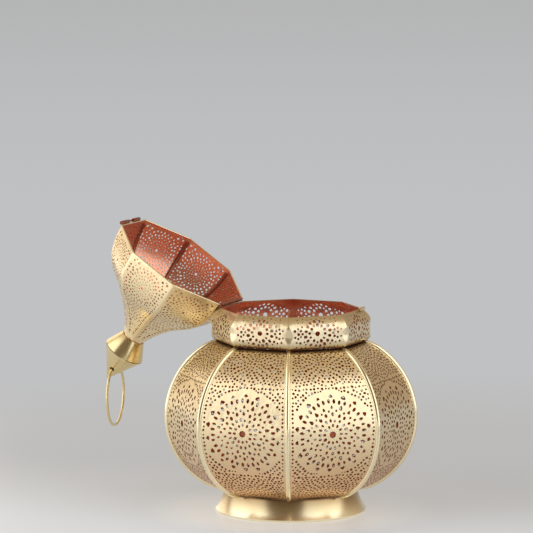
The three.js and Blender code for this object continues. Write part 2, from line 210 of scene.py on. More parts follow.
def finished_mesh(carrier: bpy.types.Object) -> bpy.types.Mesh:
    """A plain mesh of an object with its modifiers applied. The object is taken away."""
    bpy.context.view_layer.update()
    depsgraph = bpy.context.evaluated_depsgraph_get()
    mesh = bpy.data.meshes.new_from_object(carrier.evaluated_get(depsgraph), depsgraph=depsgraph)
    bpy.data.objects.remove(carrier)
    return mesh


def smooth(mesh: bpy.types.Mesh, sharp_degrees: float = SHARP_DEGREES) -> None:
    """Shades a mesh smooth, with its sharper edges kept.

    Args:
        mesh: The mesh.
        sharp_degrees: Edges that turn more than this stay sharp.
    """
    mesh.shade_smooth()
    mesh.set_sharp_from_angle(angle=math.radians(sharp_degrees))


def drop_empty_slots(mesh: bpy.types.Mesh) -> None:
    """Takes out material slots that hold nothing, and numbers the faces to match."""
    kept = [i for i, material in enumerate(mesh.materials) if material]
    numbers = [kept.index(face.material_index) for face in mesh.polygons]
    finishes = [mesh.materials[i] for i in kept]
    mesh.materials.clear()
    for finish in finishes:
        mesh.materials.append(finish)
    mesh.polygons.foreach_set("material_index", numbers)


def line_mesh(name: str, points: Sequence[Vector]) -> bpy.types.Mesh:
    """A mesh of edges along a line of points."""
    mesh = bpy.data.meshes.new(name)
    mesh.from_pydata(points, [(i, i + 1) for i in range(len(points) - 1)], [])
    return mesh


def turned_mesh(name: str, outline: Sequence[Point], segments: int) -> bpy.types.Mesh:
    """A closed outline turned about Z.

    Args:
        name: The mesh's name.
        outline: Radius and height pairs round the section, in millimetres. One that starts and ends on
            the axis is closed there.
        segments: Number of segments round the axis.

    Returns:
        The mesh, in metres, facing outwards.
    """
    closed_on_axis = outline[0][0] == 0 and outline[-1][0] == 0
    shape = bmesh.new()
    rows = []
    for radius, height in outline:
        if radius == 0:
            rows.append([shape.verts.new((0, 0, height * MM))] * segments)
            continue
        turns = [2 * math.pi * s / segments for s in range(segments)]
        rows.append([shape.verts.new((radius * math.sin(a) * MM, -radius * math.cos(a) * MM, height * MM))
                     for a in turns])
    pairs = list(zip(rows, rows[1:]))
    if not closed_on_axis:
        pairs.append((rows[-1], rows[0]))
    for low, high in pairs:
        for s in range(segments):
            after = (s + 1) % segments
            corners = [low[s], low[after], high[after], high[s]]
            face = list(dict.fromkeys(corners))
            if len(face) > 2:
                shape.faces.new(face)
    bmesh.ops.recalc_face_normals(shape, faces=shape.faces)
    mesh = bpy.data.meshes.new(name)
    shape.to_mesh(mesh)
    shape.free()
    return mesh


def turned_piece(name: str, outline: Sequence[Point], segments: int, finish: "Finish",
                 sharp_degrees: float = SHARP_DEGREES) -> bpy.types.Mesh:
    """A turned mesh in one finish, shaded smooth.

    Args:
        name: The mesh's name.
        outline: Radius and height pairs round the section, in millimetres.
        segments: Number of segments round the axis.
        finish: Its finish.
        sharp_degrees: Edges that turn more than this stay sharp.

    Returns:
        The mesh, in metres.
    """
    mesh = turned_mesh(name, outline, segments)
    mesh.materials.append(finish.material())
    smooth(mesh, sharp_degrees)
    return mesh


def bevelled(outline: Sequence[Point], radius: float, steps: int = 3) -> list[Point]:
    """Rounds the corners of an outline that lie off the axis.

    Args:
        outline: Radius and height pairs.
        radius: Length taken off each side of a corner, at most.
        steps: Steps round each corner.

    Returns:
        The outline with its corners rounded.
    """
    closed = not (outline[0][0] == 0 and outline[-1][0] == 0)
    last = len(outline) - 1
    points: list[Point] = []
    for i, corner in enumerate(outline):
        if not closed and i in (0, last):
            points.append(corner)
            continue
        before, after = outline[i - 1], outline[(i + 1) % len(outline)]
        cuts = []
        for other in (before, after):
            share = min(MOST_EASED, radius / math.dist(corner, other))
            cuts.append((corner[0] + (other[0] - corner[0]) * share,
                         corner[1] + (other[1] - corner[1]) * share))
        points += bezier([cuts[0], corner, cuts[1]], steps)
    return points


# Node trees


class NodeWriter:
    """Writes nodes into a tree, and links or sets their inputs as it goes.

    Attributes:
        tree: The tree that the nodes go into.
    """

    def __init__(self, tree: bpy.types.NodeTree) -> None:
        """Takes the tree."""
        self.tree = tree

    def feed(self, node: bpy.types.Node, inputs: Inputs) -> None:
        """Links sockets to a node's inputs, or sets plain values there.

        Args:
            node: The node.
            inputs: Sockets or plain values, by input name or number.
        """
        for key, value in inputs.items():
            if isinstance(value, Socket):
                self.tree.links.new(value, node.inputs[key])
            else:
                node.inputs[key].default_value = value

    def add(self, kind: str, inputs: Optional[Inputs] = None, **settings: Value) -> bpy.types.Node:
        """Adds a node.

        Args:
            kind: The node's type.
            inputs: Sockets to link from, or plain values, by input name or number.
            settings: The node's own settings.

        Returns:
            The node.
        """
        node = self.tree.nodes.new(kind)
        for name, value in settings.items():
            setattr(node, name, value)
        self.feed(node, inputs or {})
        return node

    def math(self, operation: str, *values: Value) -> Socket:
        """A sum of plain numbers, named as in the Math node."""
        return self.add("ShaderNodeMath", dict(enumerate(values)), operation=operation).outputs[0]

    def vector(self, operation: str, *values: Value) -> Socket:
        """A sum of vectors that gives a vector, named as in the Vector Math node."""
        node = self.add("ShaderNodeVectorMath", dict(enumerate(values)), operation=operation)
        return node.outputs["Vector"]

    def measure(self, operation: str, *values: Value) -> Socket:
        """A sum of vectors that gives a number, named as in the Vector Math node."""
        node = self.add("ShaderNodeVectorMath", dict(enumerate(values)), operation=operation)
        return node.outputs["Value"]

    def parts(self, vector: Socket) -> list[Socket]:
        """The three parts of a vector."""
        return list(self.add("ShaderNodeSeparateXYZ", {0: vector}).outputs)

    def mixed(self, share: Socket, first: Union[Tone, Socket], second: Union[Tone, Socket]) -> Socket:
        """A colour between two, by a share.

        Args:
            share: 0 for the first colour and 1 for the second.
            first: The first colour, linear, or the socket that carries it.
            second: The second colour, or its socket.

        Returns:
            The socket of the colour.
        """
        ends = {key: tone if isinstance(tone, Socket) else (*tone, 1)
                for key, tone in (("A", first), ("B", second))}
        node = self.add("ShaderNodeMix", {"Factor": share, **ends}, data_type="RGBA")
        return next(s for s in node.outputs if s.enabled)


class NodeGroup(NodeWriter):
    """A node group with named inputs and outputs."""

    def __init__(self, name: str, kind: str) -> None:
        """Starts a group.

        Args:
            name: The group's name.
            kind: The tree's type, such as ShaderNodeTree.
        """
        super().__init__(bpy.data.node_groups.new(name, kind))
        self.identifiers: dict[str, str] = {}
        self.entry = self.add("NodeGroupInput")
        self.outlet = self.add("NodeGroupOutput")

    def take(self, kind: str, *names: str) -> None:
        """Adds named inputs.

        Args:
            kind: The sockets' type, such as NodeSocketFloat.
            names: The inputs' names.
        """
        for name in names:
            socket = self.tree.interface.new_socket(name, in_out="INPUT", socket_type=kind)
            self.identifiers[name] = socket.identifier

    def given(self, name: str) -> Socket:
        """The socket that carries a named input."""
        return self.entry.outputs[name]

    def give(self, kind: str, name: str, value: Socket) -> None:
        """Adds a named output that carries a value.

        Args:
            kind: The socket's type.
            name: The output's name.
            value: The socket that it carries on.
        """
        self.tree.interface.new_socket(name, in_out="OUTPUT", socket_type=kind)
        self.feed(self.outlet, {name: value})


class GeometryTree(NodeGroup):
    """A Geometry Nodes tree with named inputs."""

    def __init__(self, name: str) -> None:
        """Starts a tree that takes a geometry."""
        super().__init__(name, "GeometryNodeTree")
        self.take("NodeSocketGeometry", "Geometry")

    def scaled(self, vector: Socket, by: Value) -> Socket:
        """A vector times a number."""
        return self.add("ShaderNodeVectorMath", {0: vector, "Scale": by}, operation="SCALE").outputs["Vector"]

    def blend(self, first: Value, second: Value, share: Value) -> Socket:
        """A number between two, by a share."""
        return self.math("ADD", first, self.math("MULTIPLY", share, self.math("SUBTRACT", second, first)))

    def combined(self, x: Value, y: Value, z: Value) -> Socket:
        """A vector from its three parts."""
        return self.add("ShaderNodeCombineXYZ", {0: x, 1: y, 2: z}).outputs[0]

    def position(self) -> list[Socket]:
        """The three parts of each point's place."""
        return self.parts(self.add("GeometryNodeInputPosition").outputs[0])

    def moved(self, geometry: Socket, position: Socket) -> Socket:
        """The geometry with its points at new places."""
        return self.add("GeometryNodeSetPosition", {"Geometry": geometry, "Position": position}).outputs[0]

    def attribute(self, name: str, kind: str) -> Socket:
        """A named attribute of the geometry."""
        node = self.add("GeometryNodeInputNamedAttribute", {"Name": name}, data_type=kind)
        return next(s for s in node.outputs if s.enabled and s.name == "Attribute")

    def curve(self, mesh: Socket) -> Socket:
        """The edges of a mesh as curves."""
        return self.add("GeometryNodeMeshToCurve", {"Mesh": mesh}).outputs[0]

    def realized(self, geometry: Socket) -> Socket:
        """The geometry with its instances made real."""
        return self.add("GeometryNodeRealizeInstances", {"Geometry": geometry}).outputs[0]

    def together(self, *parts: Socket) -> Socket:
        """Several geometries as one."""
        node = self.add("GeometryNodeJoinGeometry")
        for part in parts:
            self.tree.links.new(part, node.inputs[0])
        return node.outputs[0]

    def dressed(self, geometry: Socket, finish: str, mark: Optional[str] = None) -> Socket:
        """The geometry in a finish.

        Args:
            geometry: The geometry.
            finish: The input that holds the finish.
            mark: The faces that take it, if not all of them.

        Returns:
            The dressed geometry.
        """
        faces = {"Selection": self.attribute(mark, "BOOLEAN")} if mark else {}
        return self.add("GeometryNodeSetMaterial", {
            "Geometry": geometry, "Material": self.given(finish), **faces}).outputs[0]

    def put_out(self, geometry: Socket) -> None:
        """Ends the tree with a geometry."""
        self.give("NodeSocketGeometry", "Geometry", geometry)

    def mesh_from(self, name: str, source: bpy.types.Mesh, values: dict[str, Value]) -> bpy.types.Mesh:
        """Runs the tree on a mesh.

        Args:
            name: The new mesh's name.
            source: The mesh that the tree starts from.
            values: The tree's inputs by name.

        Returns:
            A plain mesh with no modifier.
        """
        carrier = mesh_object(name + "_source", source)
        modifier = carrier.modifiers.new(name, "NODES")
        modifier.node_group = self.tree
        for key, value in values.items():
            modifier[self.identifiers[key]] = value
        mesh = finished_mesh(carrier)
        mesh.name = name
        bpy.data.meshes.remove(source)
        drop_empty_slots(mesh)
        return mesh


class PiercingTree(GeometryTree):
    """Punches holes in a flat sheet, gives it thickness and bends it to a side of an eight-sided shell.

    The sheet's outline comes as edges, in strips that are filled one by one. Each hole comes as a loose
    point with a shape, a size and a turn.
    """

    HOLE_SIDES = 8
    DROP_SIDES = 10
    WELD = 1e-6
    PUNCH_RADIUS = 0.5
    DROP_WIDTH = 0.85
    DROP_TAPER = 1.1
    EDGE_DEPTH = -0.25
    INNER_DEPTH = -0.75
    LEAST_TAPER = 0.1

    def __init__(self) -> None:
        """Builds the tree."""
        super().__init__("pierced_sheet")
        self.take("NodeSocketFloat", "Thickness", "Corner radius", "Half gap", "Flatness", "Facet middle",
                  "Facet half length")
        self.take("NodeSocketObject", "Path")
        self.take("NodeSocketMaterial", "Outside finish", "Edge finish", "Inside finish")
        solid = self.thickened(self.pierced())
        marked = self.marked(self.marked(solid, "edge", self.EDGE_DEPTH), "inner", self.INNER_DEPTH)
        outside = self.dressed(self.realized(self.bent(marked)), "Outside finish")
        # The holes' walls take the dark edge finish: painted shade in the holes.
        walls = self.dressed(outside, "Edge finish", "edge")
        self.put_out(self.dressed(walls, "Inside finish", "inner"))

    def circle(self, sides: int) -> Socket:
        """The outline of a punch of size 1."""
        return self.add("GeometryNodeCurvePrimitiveCircle", {
            "Resolution": sides, "Radius": self.PUNCH_RADIUS}).outputs["Curve"]

    def punches(self) -> Socket:
        """The outlines of the round punch and the drop punch, as instances to pick from."""
        x, y, _ = self.position()
        narrowing = self.math("SUBTRACT", self.DROP_WIDTH, self.math("MULTIPLY", x, self.DROP_TAPER))
        drop = self.moved(self.circle(self.DROP_SIDES),
                          self.combined(x, self.math("MULTIPLY", y, narrowing), 0.0))
        return self.together(*(self.add("GeometryNodeGeometryToInstance", {0: punch}).outputs[0]
                               for punch in (drop, self.circle(self.HOLE_SIDES))))

    def welded(self, geometry: Socket) -> Socket:
        """The geometry with the points that share a place made one."""
        return self.add("GeometryNodeMergeByDistance", {
            "Geometry": geometry, "Distance": self.WELD}).outputs[0]

    def pierced(self) -> Socket:
        """The flat sheet with its holes."""
        source = self.given("Geometry")
        places = self.add("GeometryNodeMeshToPoints", {
            "Mesh": source, "Selection": self.attribute("is_hole", "BOOLEAN")}).outputs[0]
        turn = self.combined(0.0, 0.0, self.attribute("turn", "FLOAT"))
        punched = self.add("GeometryNodeInstanceOnPoints", {
            "Points": places, "Instance": self.punches(), "Pick Instance": True,
            "Instance Index": self.attribute("shape", "INT"), "Rotation": turn,
            "Scale": self.attribute("size", "FLOAT_VECTOR")}).outputs[0]
        lines = self.together(self.realized(punched), self.curve(source))
        filled = self.add("GeometryNodeFillCurve", {
            "Curve": lines, "Group ID": self.attribute("strip", "INT")}, mode="TRIANGLES")
        return self.welded(filled.outputs[0])

    def thickened(self, flat: Socket) -> Socket:
        """The flat sheet as a closed plate that reaches down from its outside."""
        pushed = self.add("GeometryNodeExtrudeMesh", {
            "Mesh": flat, "Offset": self.combined(0.0, 0.0, -1.0), "Offset Scale": self.given("Thickness"),
            "Individual": False}, mode="FACES").outputs["Mesh"]
        under = self.add("GeometryNodeFlipFaces", {"Mesh": pushed}).outputs[0]
        return self.welded(self.together(under, flat))

    def marked(self, solid: Socket, name: str, share: float) -> Socket:
        """The flat plate with the faces below a depth marked.

        Args:
            solid: The plate.
            name: Name of the mark.
            share: The depth as a share of the thickness. The walls' faces lie at -0.5.

        Returns:
            The marked plate.
        """
        limit = self.math("MULTIPLY", self.given("Thickness"), share)
        below = self.add("FunctionNodeCompare", {0: self.position()[2], 1: limit},
                         data_type="FLOAT", operation="LESS_THAN").outputs[0]
        return self.add("GeometryNodeStoreNamedAttribute", {
            "Geometry": solid, "Name": name, "Value": below},
            data_type="BOOLEAN", domain="FACE").outputs[0]

    def bent(self, solid: Socket) -> Socket:
        """The plate bent along the path, with its long edges rounded or cut flat towards the corners.

        The corner is widest at the facet's middle and narrows away from it.
        """
        across, along, depth = self.position()
        line = self.add("GeometryNodeObjectInfo", {"Object": self.given("Path")},
                        transform_space="ORIGINAL").outputs["Geometry"]
        place_on_path = self.add("GeometryNodeSampleCurve", {"Curves": self.curve(line), "Length": along},
                                 mode="LENGTH")
        _, y, z = self.parts(place_on_path.outputs["Position"])
        out = self.vector("CROSS_PRODUCT", (1.0, 0.0, 0.0), place_on_path.outputs["Tangent"])
        _, out_y, out_z = self.parts(out)
        off = self.math("ABSOLUTE", self.math("SUBTRACT", along, self.given("Facet middle")))
        taper = self.math("SUBTRACT", 1.0, self.math("DIVIDE", off, self.given("Facet half length")))
        radius = self.math("MULTIPLY", self.given("Corner radius"),
                           self.math("MAXIMUM", taper, self.LEAST_TAPER))
        bend = self.math("MULTIPLY", radius, SLOPE)
        width = self.math("SUBTRACT", self.math("MULTIPLY", y, -SLOPE), self.given("Half gap"))
        straight = self.math("SUBTRACT", width, bend)
        distance = self.math("ABSOLUTE", across)
        flatness = self.given("Flatness")
        past = self.math("DIVIDE", self.math("SUBTRACT", distance, straight), bend)
        past = self.math("MINIMUM", self.math("MAXIMUM", past, 0.0), 1.0)
        round_turn = self.math("MULTIPLY", past, HALF_SIDE)
        flat_turn = self.math("MULTIPLY", self.math("SIGN", past), HALF_SIDE)
        turn = self.blend(round_turn, flat_turn, flatness)
        round_reach = self.math("MULTIPLY", radius, self.math("SINE", round_turn))
        round_drop = self.math("MULTIPLY", radius,
                               self.math("SUBTRACT", 1.0, self.math("COSINE", round_turn)))
        cut = self.math("MULTIPLY", past, bend)
        flat_reach = self.math("MULTIPLY", cut, FLAT * FLAT)
        flat_drop = self.math("MULTIPLY", cut, FLAT * math.sin(HALF_SIDE))
        reach = self.math("ADD", self.math("MINIMUM", distance, straight),
                          self.blend(round_reach, flat_reach, flatness))
        drop = self.blend(round_drop, flat_drop, flatness)
        side = self.math("SIGN", across)
        flat_out = self.math("MULTIPLY", out_y, -1.0)
        sideways = self.math("MULTIPLY", flat_out, self.math("SINE", turn))
        normal = self.combined(self.math("MULTIPLY", sideways, side),
                               self.math("MULTIPLY", out_y, self.math("COSINE", turn)), out_z)
        surface = self.combined(self.math("MULTIPLY", reach, side), self.math("ADD", y, drop), z)
        return self.moved(solid, self.vector("ADD", surface, self.scaled(normal, depth)))


class StripTree(GeometryTree):
    """Sweeps a half-round strip along a line of edges."""

    ARC_POINTS = 17

    def __init__(self) -> None:
        """Builds the tree."""
        super().__init__("half_round_strip")
        self.take("NodeSocketFloat", "Half width", "Rise")
        self.take("NodeSocketVector", "Across")
        self.take("NodeSocketMaterial", "Finish")
        upright = self.add("GeometryNodeSetCurveNormal", {
            0: self.curve(self.given("Geometry")), "Normal": self.given("Across")}, mode="FREE").outputs[0]
        half = self.add("GeometryNodeCurveArc", {
            "Resolution": self.ARC_POINTS, "Radius": 1.0, "Start Angle": 0.0, "Sweep Angle": math.pi,
            "Connect Center": True}, mode="RADIUS").outputs["Curve"]
        size = self.combined(self.given("Half width"), self.given("Rise"), 1.0)
        section = self.add("GeometryNodeTransform", {"Geometry": half, "Scale": size}).outputs[0]
        swept = self.add("GeometryNodeCurveToMesh", {
            "Curve": upright, "Profile Curve": section, "Fill Caps": True}).outputs[0]
        self.put_out(self.dressed(self.realized(swept), "Finish"))

    def strip(self, name: str, line: Sequence[Vector], half_width: float, rise: float, finish: "Finish",
              across: Vector = Vector((-1, 0, 0))) -> bpy.types.Mesh:
        """A half-round strip.

        Args:
            name: The mesh's name.
            line: The middle of the strip's flat side, in metres.
            half_width: Half of its width, in millimetres.
            rise: Its height, in millimetres.
            finish: Its finish.
            across: Direction of its width.

        Returns:
            The mesh, in metres.
        """
        made = self.mesh_from(name, line_mesh(name + "_line", line), {
            "Half width": half_width * MM, "Rise": rise * MM, "Across": tuple(across),
            "Finish": finish.material()})
        smooth(made)
        return made


# Finishes


def patina_group() -> bpy.types.NodeTree:
    """The unevenness of worked sheet: cloudy tone, cloudy gloss and shallow dents.

    Returns:
        A group that puts out Color, Roughness and Height.
    """
    existing = bpy.data.node_groups.get("patina")
    if existing:
        return existing
    cloud_detail, dent_detail, dents_to_cloud = 3.0, 1.0, 4.0
    group = NodeGroup("patina", "ShaderNodeTree")
    group.take("NodeSocketColor", "Tone", "Dull tone")
    group.take("NodeSocketFloat", "Cloud scale", "Gloss", "Gloss spread")
    where = group.add("ShaderNodeTexCoord").outputs["Object"]
    scale = group.given("Cloud scale")
    cloud = group.add("ShaderNodeTexNoise", {
        "Vector": where, "Scale": scale, "Detail": cloud_detail}).outputs["Fac"]
    dents = group.add("ShaderNodeTexNoise", {
        "Vector": where, "Scale": group.math("MULTIPLY", scale, dents_to_cloud),
        "Detail": dent_detail}).outputs["Fac"]
    group.give("NodeSocketColor", "Color", group.mixed(cloud, group.given("Tone"), group.given("Dull tone")))
    group.give("NodeSocketFloat", "Roughness",
               group.math("MULTIPLY_ADD", cloud, group.given("Gloss spread"), group.given("Gloss")))
    group.give("NodeSocketFloat", "Height", group.math("ADD", cloud, dents))
    return group.tree


def painted_band_group() -> bpy.types.NodeTree:
    """Painted light or shade round a height, such as the painted shadow line where two pieces meet.

    Returns:
        A group that puts out a Mask, which is 1 at the height and 0 out of its reach.
    """
    existing = bpy.data.node_groups.get("painted_band")
    if existing:
        return existing
    group = NodeGroup("painted_band", "ShaderNodeTree")
    group.take("NodeSocketFloat", "Height", "Reach")
    height = group.parts(group.add("ShaderNodeTexCoord").outputs["Object"])[2]
    distance = group.math("ABSOLUTE", group.math("SUBTRACT", height, group.given("Height")))
    fade = group.add("ShaderNodeMapRange", {
        "Value": distance, "From Max": group.given("Reach"), "To Min": 1.0, "To Max": 0.0},
        interpolation_type="SMOOTHSTEP")
    group.give("NodeSocketFloat", "Mask", fade.outputs["Result"])
    return group.tree


@dataclass(frozen=True)
class PaintedBand:
    """A height on a piece where light or shade is painted into the metal's tone.

    Attributes:
        height: The height, in millimetres.
        reach: How far the change reaches, in millimetres.
        tone: Linear colour at the height.
    """

    height: float
    reach: float
    tone: Tone


@dataclass(frozen=True)
class Finish:
    """A metal finish.

    Attributes:
        name: The material's name.
        tone: Linear colour where the metal is clean.
        dull_tone: Linear colour where it is duller.
        roughness: Least roughness.
        roughness_spread: Added where it is duller.
        metallic: How metallic it is.
        coat: Weight of a clear lacquer over it.
        coat_roughness: Roughness of that lacquer.
        cloud_scale: Clouds to the metre.
        dents: Depth of the dents, in millimetres.
        painted_bands: The heights where light or shade is painted into its tone.
    """

    name: str
    tone: Tone
    dull_tone: Tone
    roughness: float
    roughness_spread: float
    metallic: float = 1.0
    coat: float = 0.0
    coat_roughness: float = 0.25
    cloud_scale: float = 40.0
    dents: float = 0.0
    painted_bands: tuple[PaintedBand, ...] = ()

    def material(self) -> bpy.types.Material:
        """The Blender material, made on first use."""
        existing = bpy.data.materials.get(self.name)
        if existing:
            return existing
        made = bpy.data.materials.new(self.name)
        made.use_nodes = True
        writer = NodeWriter(made.node_tree)
        patina = writer.add("ShaderNodeGroup", {
            "Tone": (*self.tone, 1), "Dull tone": (*self.dull_tone, 1), "Cloud scale": self.cloud_scale,
            "Gloss": self.roughness, "Gloss spread": self.roughness_spread}, node_tree=patina_group())
        colour = patina.outputs["Color"]
        # Each band paints light or shade into the colour round its height.
        for painted_band in self.painted_bands:
            mask = writer.add("ShaderNodeGroup", {
                "Height": painted_band.height * MM, "Reach": painted_band.reach * MM}, node_tree=painted_band_group())
            colour = writer.mixed(mask.outputs["Mask"], colour, painted_band.tone)
        shader = made.node_tree.nodes["Principled BSDF"]
        writer.feed(shader, {
            "Base Color": colour, "Roughness": patina.outputs["Roughness"], "Metallic": self.metallic,
            "Coat Weight": self.coat, "Coat Roughness": self.coat_roughness})
        if self.dents:
            bump = writer.add("ShaderNodeBump", {
                "Distance": self.dents * MM, "Height": patina.outputs["Height"]})
            writer.feed(shader, {"Normal": bump.outputs["Normal"]})
        return made


FOOT_SEAM, NECK_SEAM, RIM_HEIGHT = 17.0, 135.3, 160.8
# Painted shadow: the near-black line of shade in the gaps where the body meets the foot and the collar.
SHADOW_LINE = (0.13, 0.07, 0.03)
# Painted shade: the lower body darkens and warms towards the foot, in place of the shaded floor and the foot
# that it reflects.
LOWER_BODY_SHADE = (0.76, 0.475, 0.262)
BODY_BRASS = Finish(
    "pale_brass", (0.92, 0.775, 0.505), (0.86, 0.69, 0.42), 0.25, 0.1, cloud_scale=60.0, dents=0.12,
    painted_bands=(PaintedBand(FOOT_SEAM, 62.0, LOWER_BODY_SHADE), PaintedBand(FOOT_SEAM, 4.0, SHADOW_LINE),
             PaintedBand(NECK_SEAM, 3.0, SHADOW_LINE)))
# The collar's bands are painted shade: darker on the up-facing shoulder below the rim, as painted reflection
# of the dim ceiling, darker on the lower rounding over the neck, and the shadow line under the collar.
COLLAR_BRASS = replace(
    BODY_BRASS, name="collar_brass", tone=(0.885, 0.765, 0.53), dull_tone=(0.815, 0.675, 0.435),
    painted_bands=(PaintedBand(RIM_HEIGHT, 9.0, (0.62, 0.49, 0.29)), PaintedBand(NECK_SEAM, 8.0, (0.60, 0.46, 0.25)),
             PaintedBand(NECK_SEAM, 3.0, SHADOW_LINE)))
LID_BRASS = replace(
    BODY_BRASS, name="lid_brass", tone=(0.985, 0.83, 0.54), dull_tone=(0.92, 0.73, 0.44), painted_bands=())
RIB_BRASS = Finish("rib_brass", (0.96, 0.85, 0.60), (0.90, 0.77, 0.50), 0.14, 0.06, cloud_scale=50.0)
# The foot's bands are painted light and shade: lighter along the lower flare, darker towards the top in the
# painted shadow under the body, and the shadow line at the seam.
FOOT_BRASS = Finish(
    "foot_brass", (0.85, 0.715, 0.45), (0.77, 0.63, 0.37), 0.22, 0.06, cloud_scale=50.0,
    painted_bands=(PaintedBand(0.0, 9.0, (0.99, 0.90, 0.66)), PaintedBand(FOOT_SEAM, 11.5, (0.44, 0.30, 0.15)),
             PaintedBand(FOOT_SEAM, 2.2, SHADOW_LINE)))
SPUN_BRASS = Finish("spun_brass", (0.88, 0.735, 0.41), (0.79, 0.64, 0.335), 0.20, 0.06, cloud_scale=50.0)
RED_LACQUER = Finish(
    "copper_red_lacquer", (0.92, 0.42, 0.265), (0.82, 0.335, 0.20), 0.28, 0.1, metallic=0.85, coat=0.2,
    cloud_scale=60.0, dents=0.1)
# Painted shade: the copper lacquer's own colour, made darker for the shaded inside of the body, the foot and
# the floor plate. RED_LACQUER is the lighter copy, for the insides of the collar and the lid.
SHADED_LACQUER = Finish(
    "shaded_red_lacquer", (0.74, 0.185, 0.075), (0.62, 0.14, 0.055), 0.35, 0.1, metallic=0.4, coat=0.15,
    cloud_scale=60.0, dents=0.1)
BROWN_LACQUER = Finish(
    "brown_copper", (0.38, 0.13, 0.075), (0.30, 0.095, 0.055), 0.32, 0.1, metallic=0.8, cloud_scale=80.0)
EYE_LACQUER = Finish("eye_lacquer", (0.40, 0.10, 0.05), (0.35, 0.085, 0.04), 0.4, 0.1, metallic=0.6)
# Painted shade: the dark walls inside the holes, and the dark outer rim of the flange in the gap between body
# and foot.
EDGE_SHADE = Finish("edge_shade", (0.40, 0.20, 0.09), (0.32, 0.15, 0.065), 0.5, 0.1, metallic=0.5)


# Piercing layouts


@dataclass(frozen=True)
class Hole:
    """One punched hole on the flat sheet.

    Attributes:
        across: Distance from the side's middle line.
        along: Length up the side's middle line.
        length: Size along the punch.
        width: Size across it.
        turn: Turn of the punch, in radians from straight across.
        shape: The punch.
    """

    across: float
    along: float
    length: float
    width: float
    turn: float = 0.0
    shape: HoleShape = HoleShape.ROUND

    @property
    def reach(self) -> float:
        """Half of the hole's larger size."""
        return max(self.length, self.width) / 2


@dataclass(frozen=True)
class Ring:
    """A ring of equal holes round a rosette's middle, set out on its spokes.

    Attributes:
        radius: Distance from the middle.
        count: Number of holes.
        length: Size of a hole along its spoke.
        width: Size across it.
        phase: Share of a step that the first hole is turned by.
        shape: The punch.
    """

    radius: float
    count: int
    length: float
    width: float
    phase: float = 0.0
    shape: HoleShape = HoleShape.ROUND


@dataclass(frozen=True)
class Rosette:
    """An eye with rings of holes round it.

    Attributes:
        eye: Diameter of the eye.
        rings: The rings, from the inside out.
    """

    eye: float
    rings: tuple[Ring, ...]


@dataclass(frozen=True)
class DotRow:
    """A row of dots.

    Attributes:
        pitch: Distance between dots.
        sizes: Diameters, taken in turn.
        inset: Distance in from the side's edge.
    """

    pitch: float
    sizes: tuple[float, ...]
    inset: float


@dataclass(frozen=True)
class DotArcs:
    """Arcs of dots round a place on the middle line.

    Attributes:
        first: Radius of the first arc.
        last: Radius that the arcs stay under.
        pitch: Distance between arcs, and between the dots of an arc.
        sizes: Diameters, taken arc by arc.
    """

    first: float
    last: float
    pitch: float
    sizes: tuple[float, ...]


@dataclass(frozen=True)
class DotScatter:
    """Dots in the room that is left.

    Attributes:
        seed: Seed of the places.
        tries: Tries for each size.
        sizes: Diameters, from the largest.
        bridge: Metal left round each dot.
    """

    seed: int
    tries: int
    sizes: tuple[float, ...]
    bridge: float


BODY_ROSETTE = Rosette(6.8, (
    Ring(7.0, 12, 2.8, 2.1),
    Ring(11.0, 18, 3.0, 2.1, 0.5),
    Ring(15.3, 18, 3.0, 2.3),
    Ring(18.4, 18, 2.1, 1.9, 0.5),
    Ring(20.9, 18, 3.5, 2.6, 0.0, HoleShape.DROP),
    Ring(25.7, 36, 3.95, 2.4, 0.5),
    Ring(30.3, 18, 3.0, 3.7, 0.0, HoleShape.DROP)))
SMALL_ROSETTE = Rosette(2.2, (
    Ring(3.4, 8, 1.6, 1.6), Ring(5.9, 12, 1.7, 1.7), Ring(8.4, 16, 1.8, 1.8, 0.5),
    Ring(10.9, 20, 1.9, 1.8), Ring(13.5, 22, 2.2, 2.0, 0.5), Ring(16.3, 26, 2.2, 2.0)))
COLLAR_FLOWER = Rosette(5.0, (Ring(6.4, 12, 2.7, 2.3), Ring(10.0, 16, 3.1, 2.5, 0.5)))
COLLAR_BUD = Rosette(2.3, (Ring(3.6, 8, 2.1, 2.0),))
LID_ROSETTE = Rosette(2.4, (
    Ring(3.1, 8, 0.8, 0.8), Ring(5.2, 14, 0.9, 0.9), Ring(7.6, 20, 1.0, 1.0, 0.5),
    Ring(10.2, 24, 1.3, 1.2), Ring(13.0, 28, 1.9, 1.5, 0.5), Ring(15.8, 30, 1.7, 1.5)))


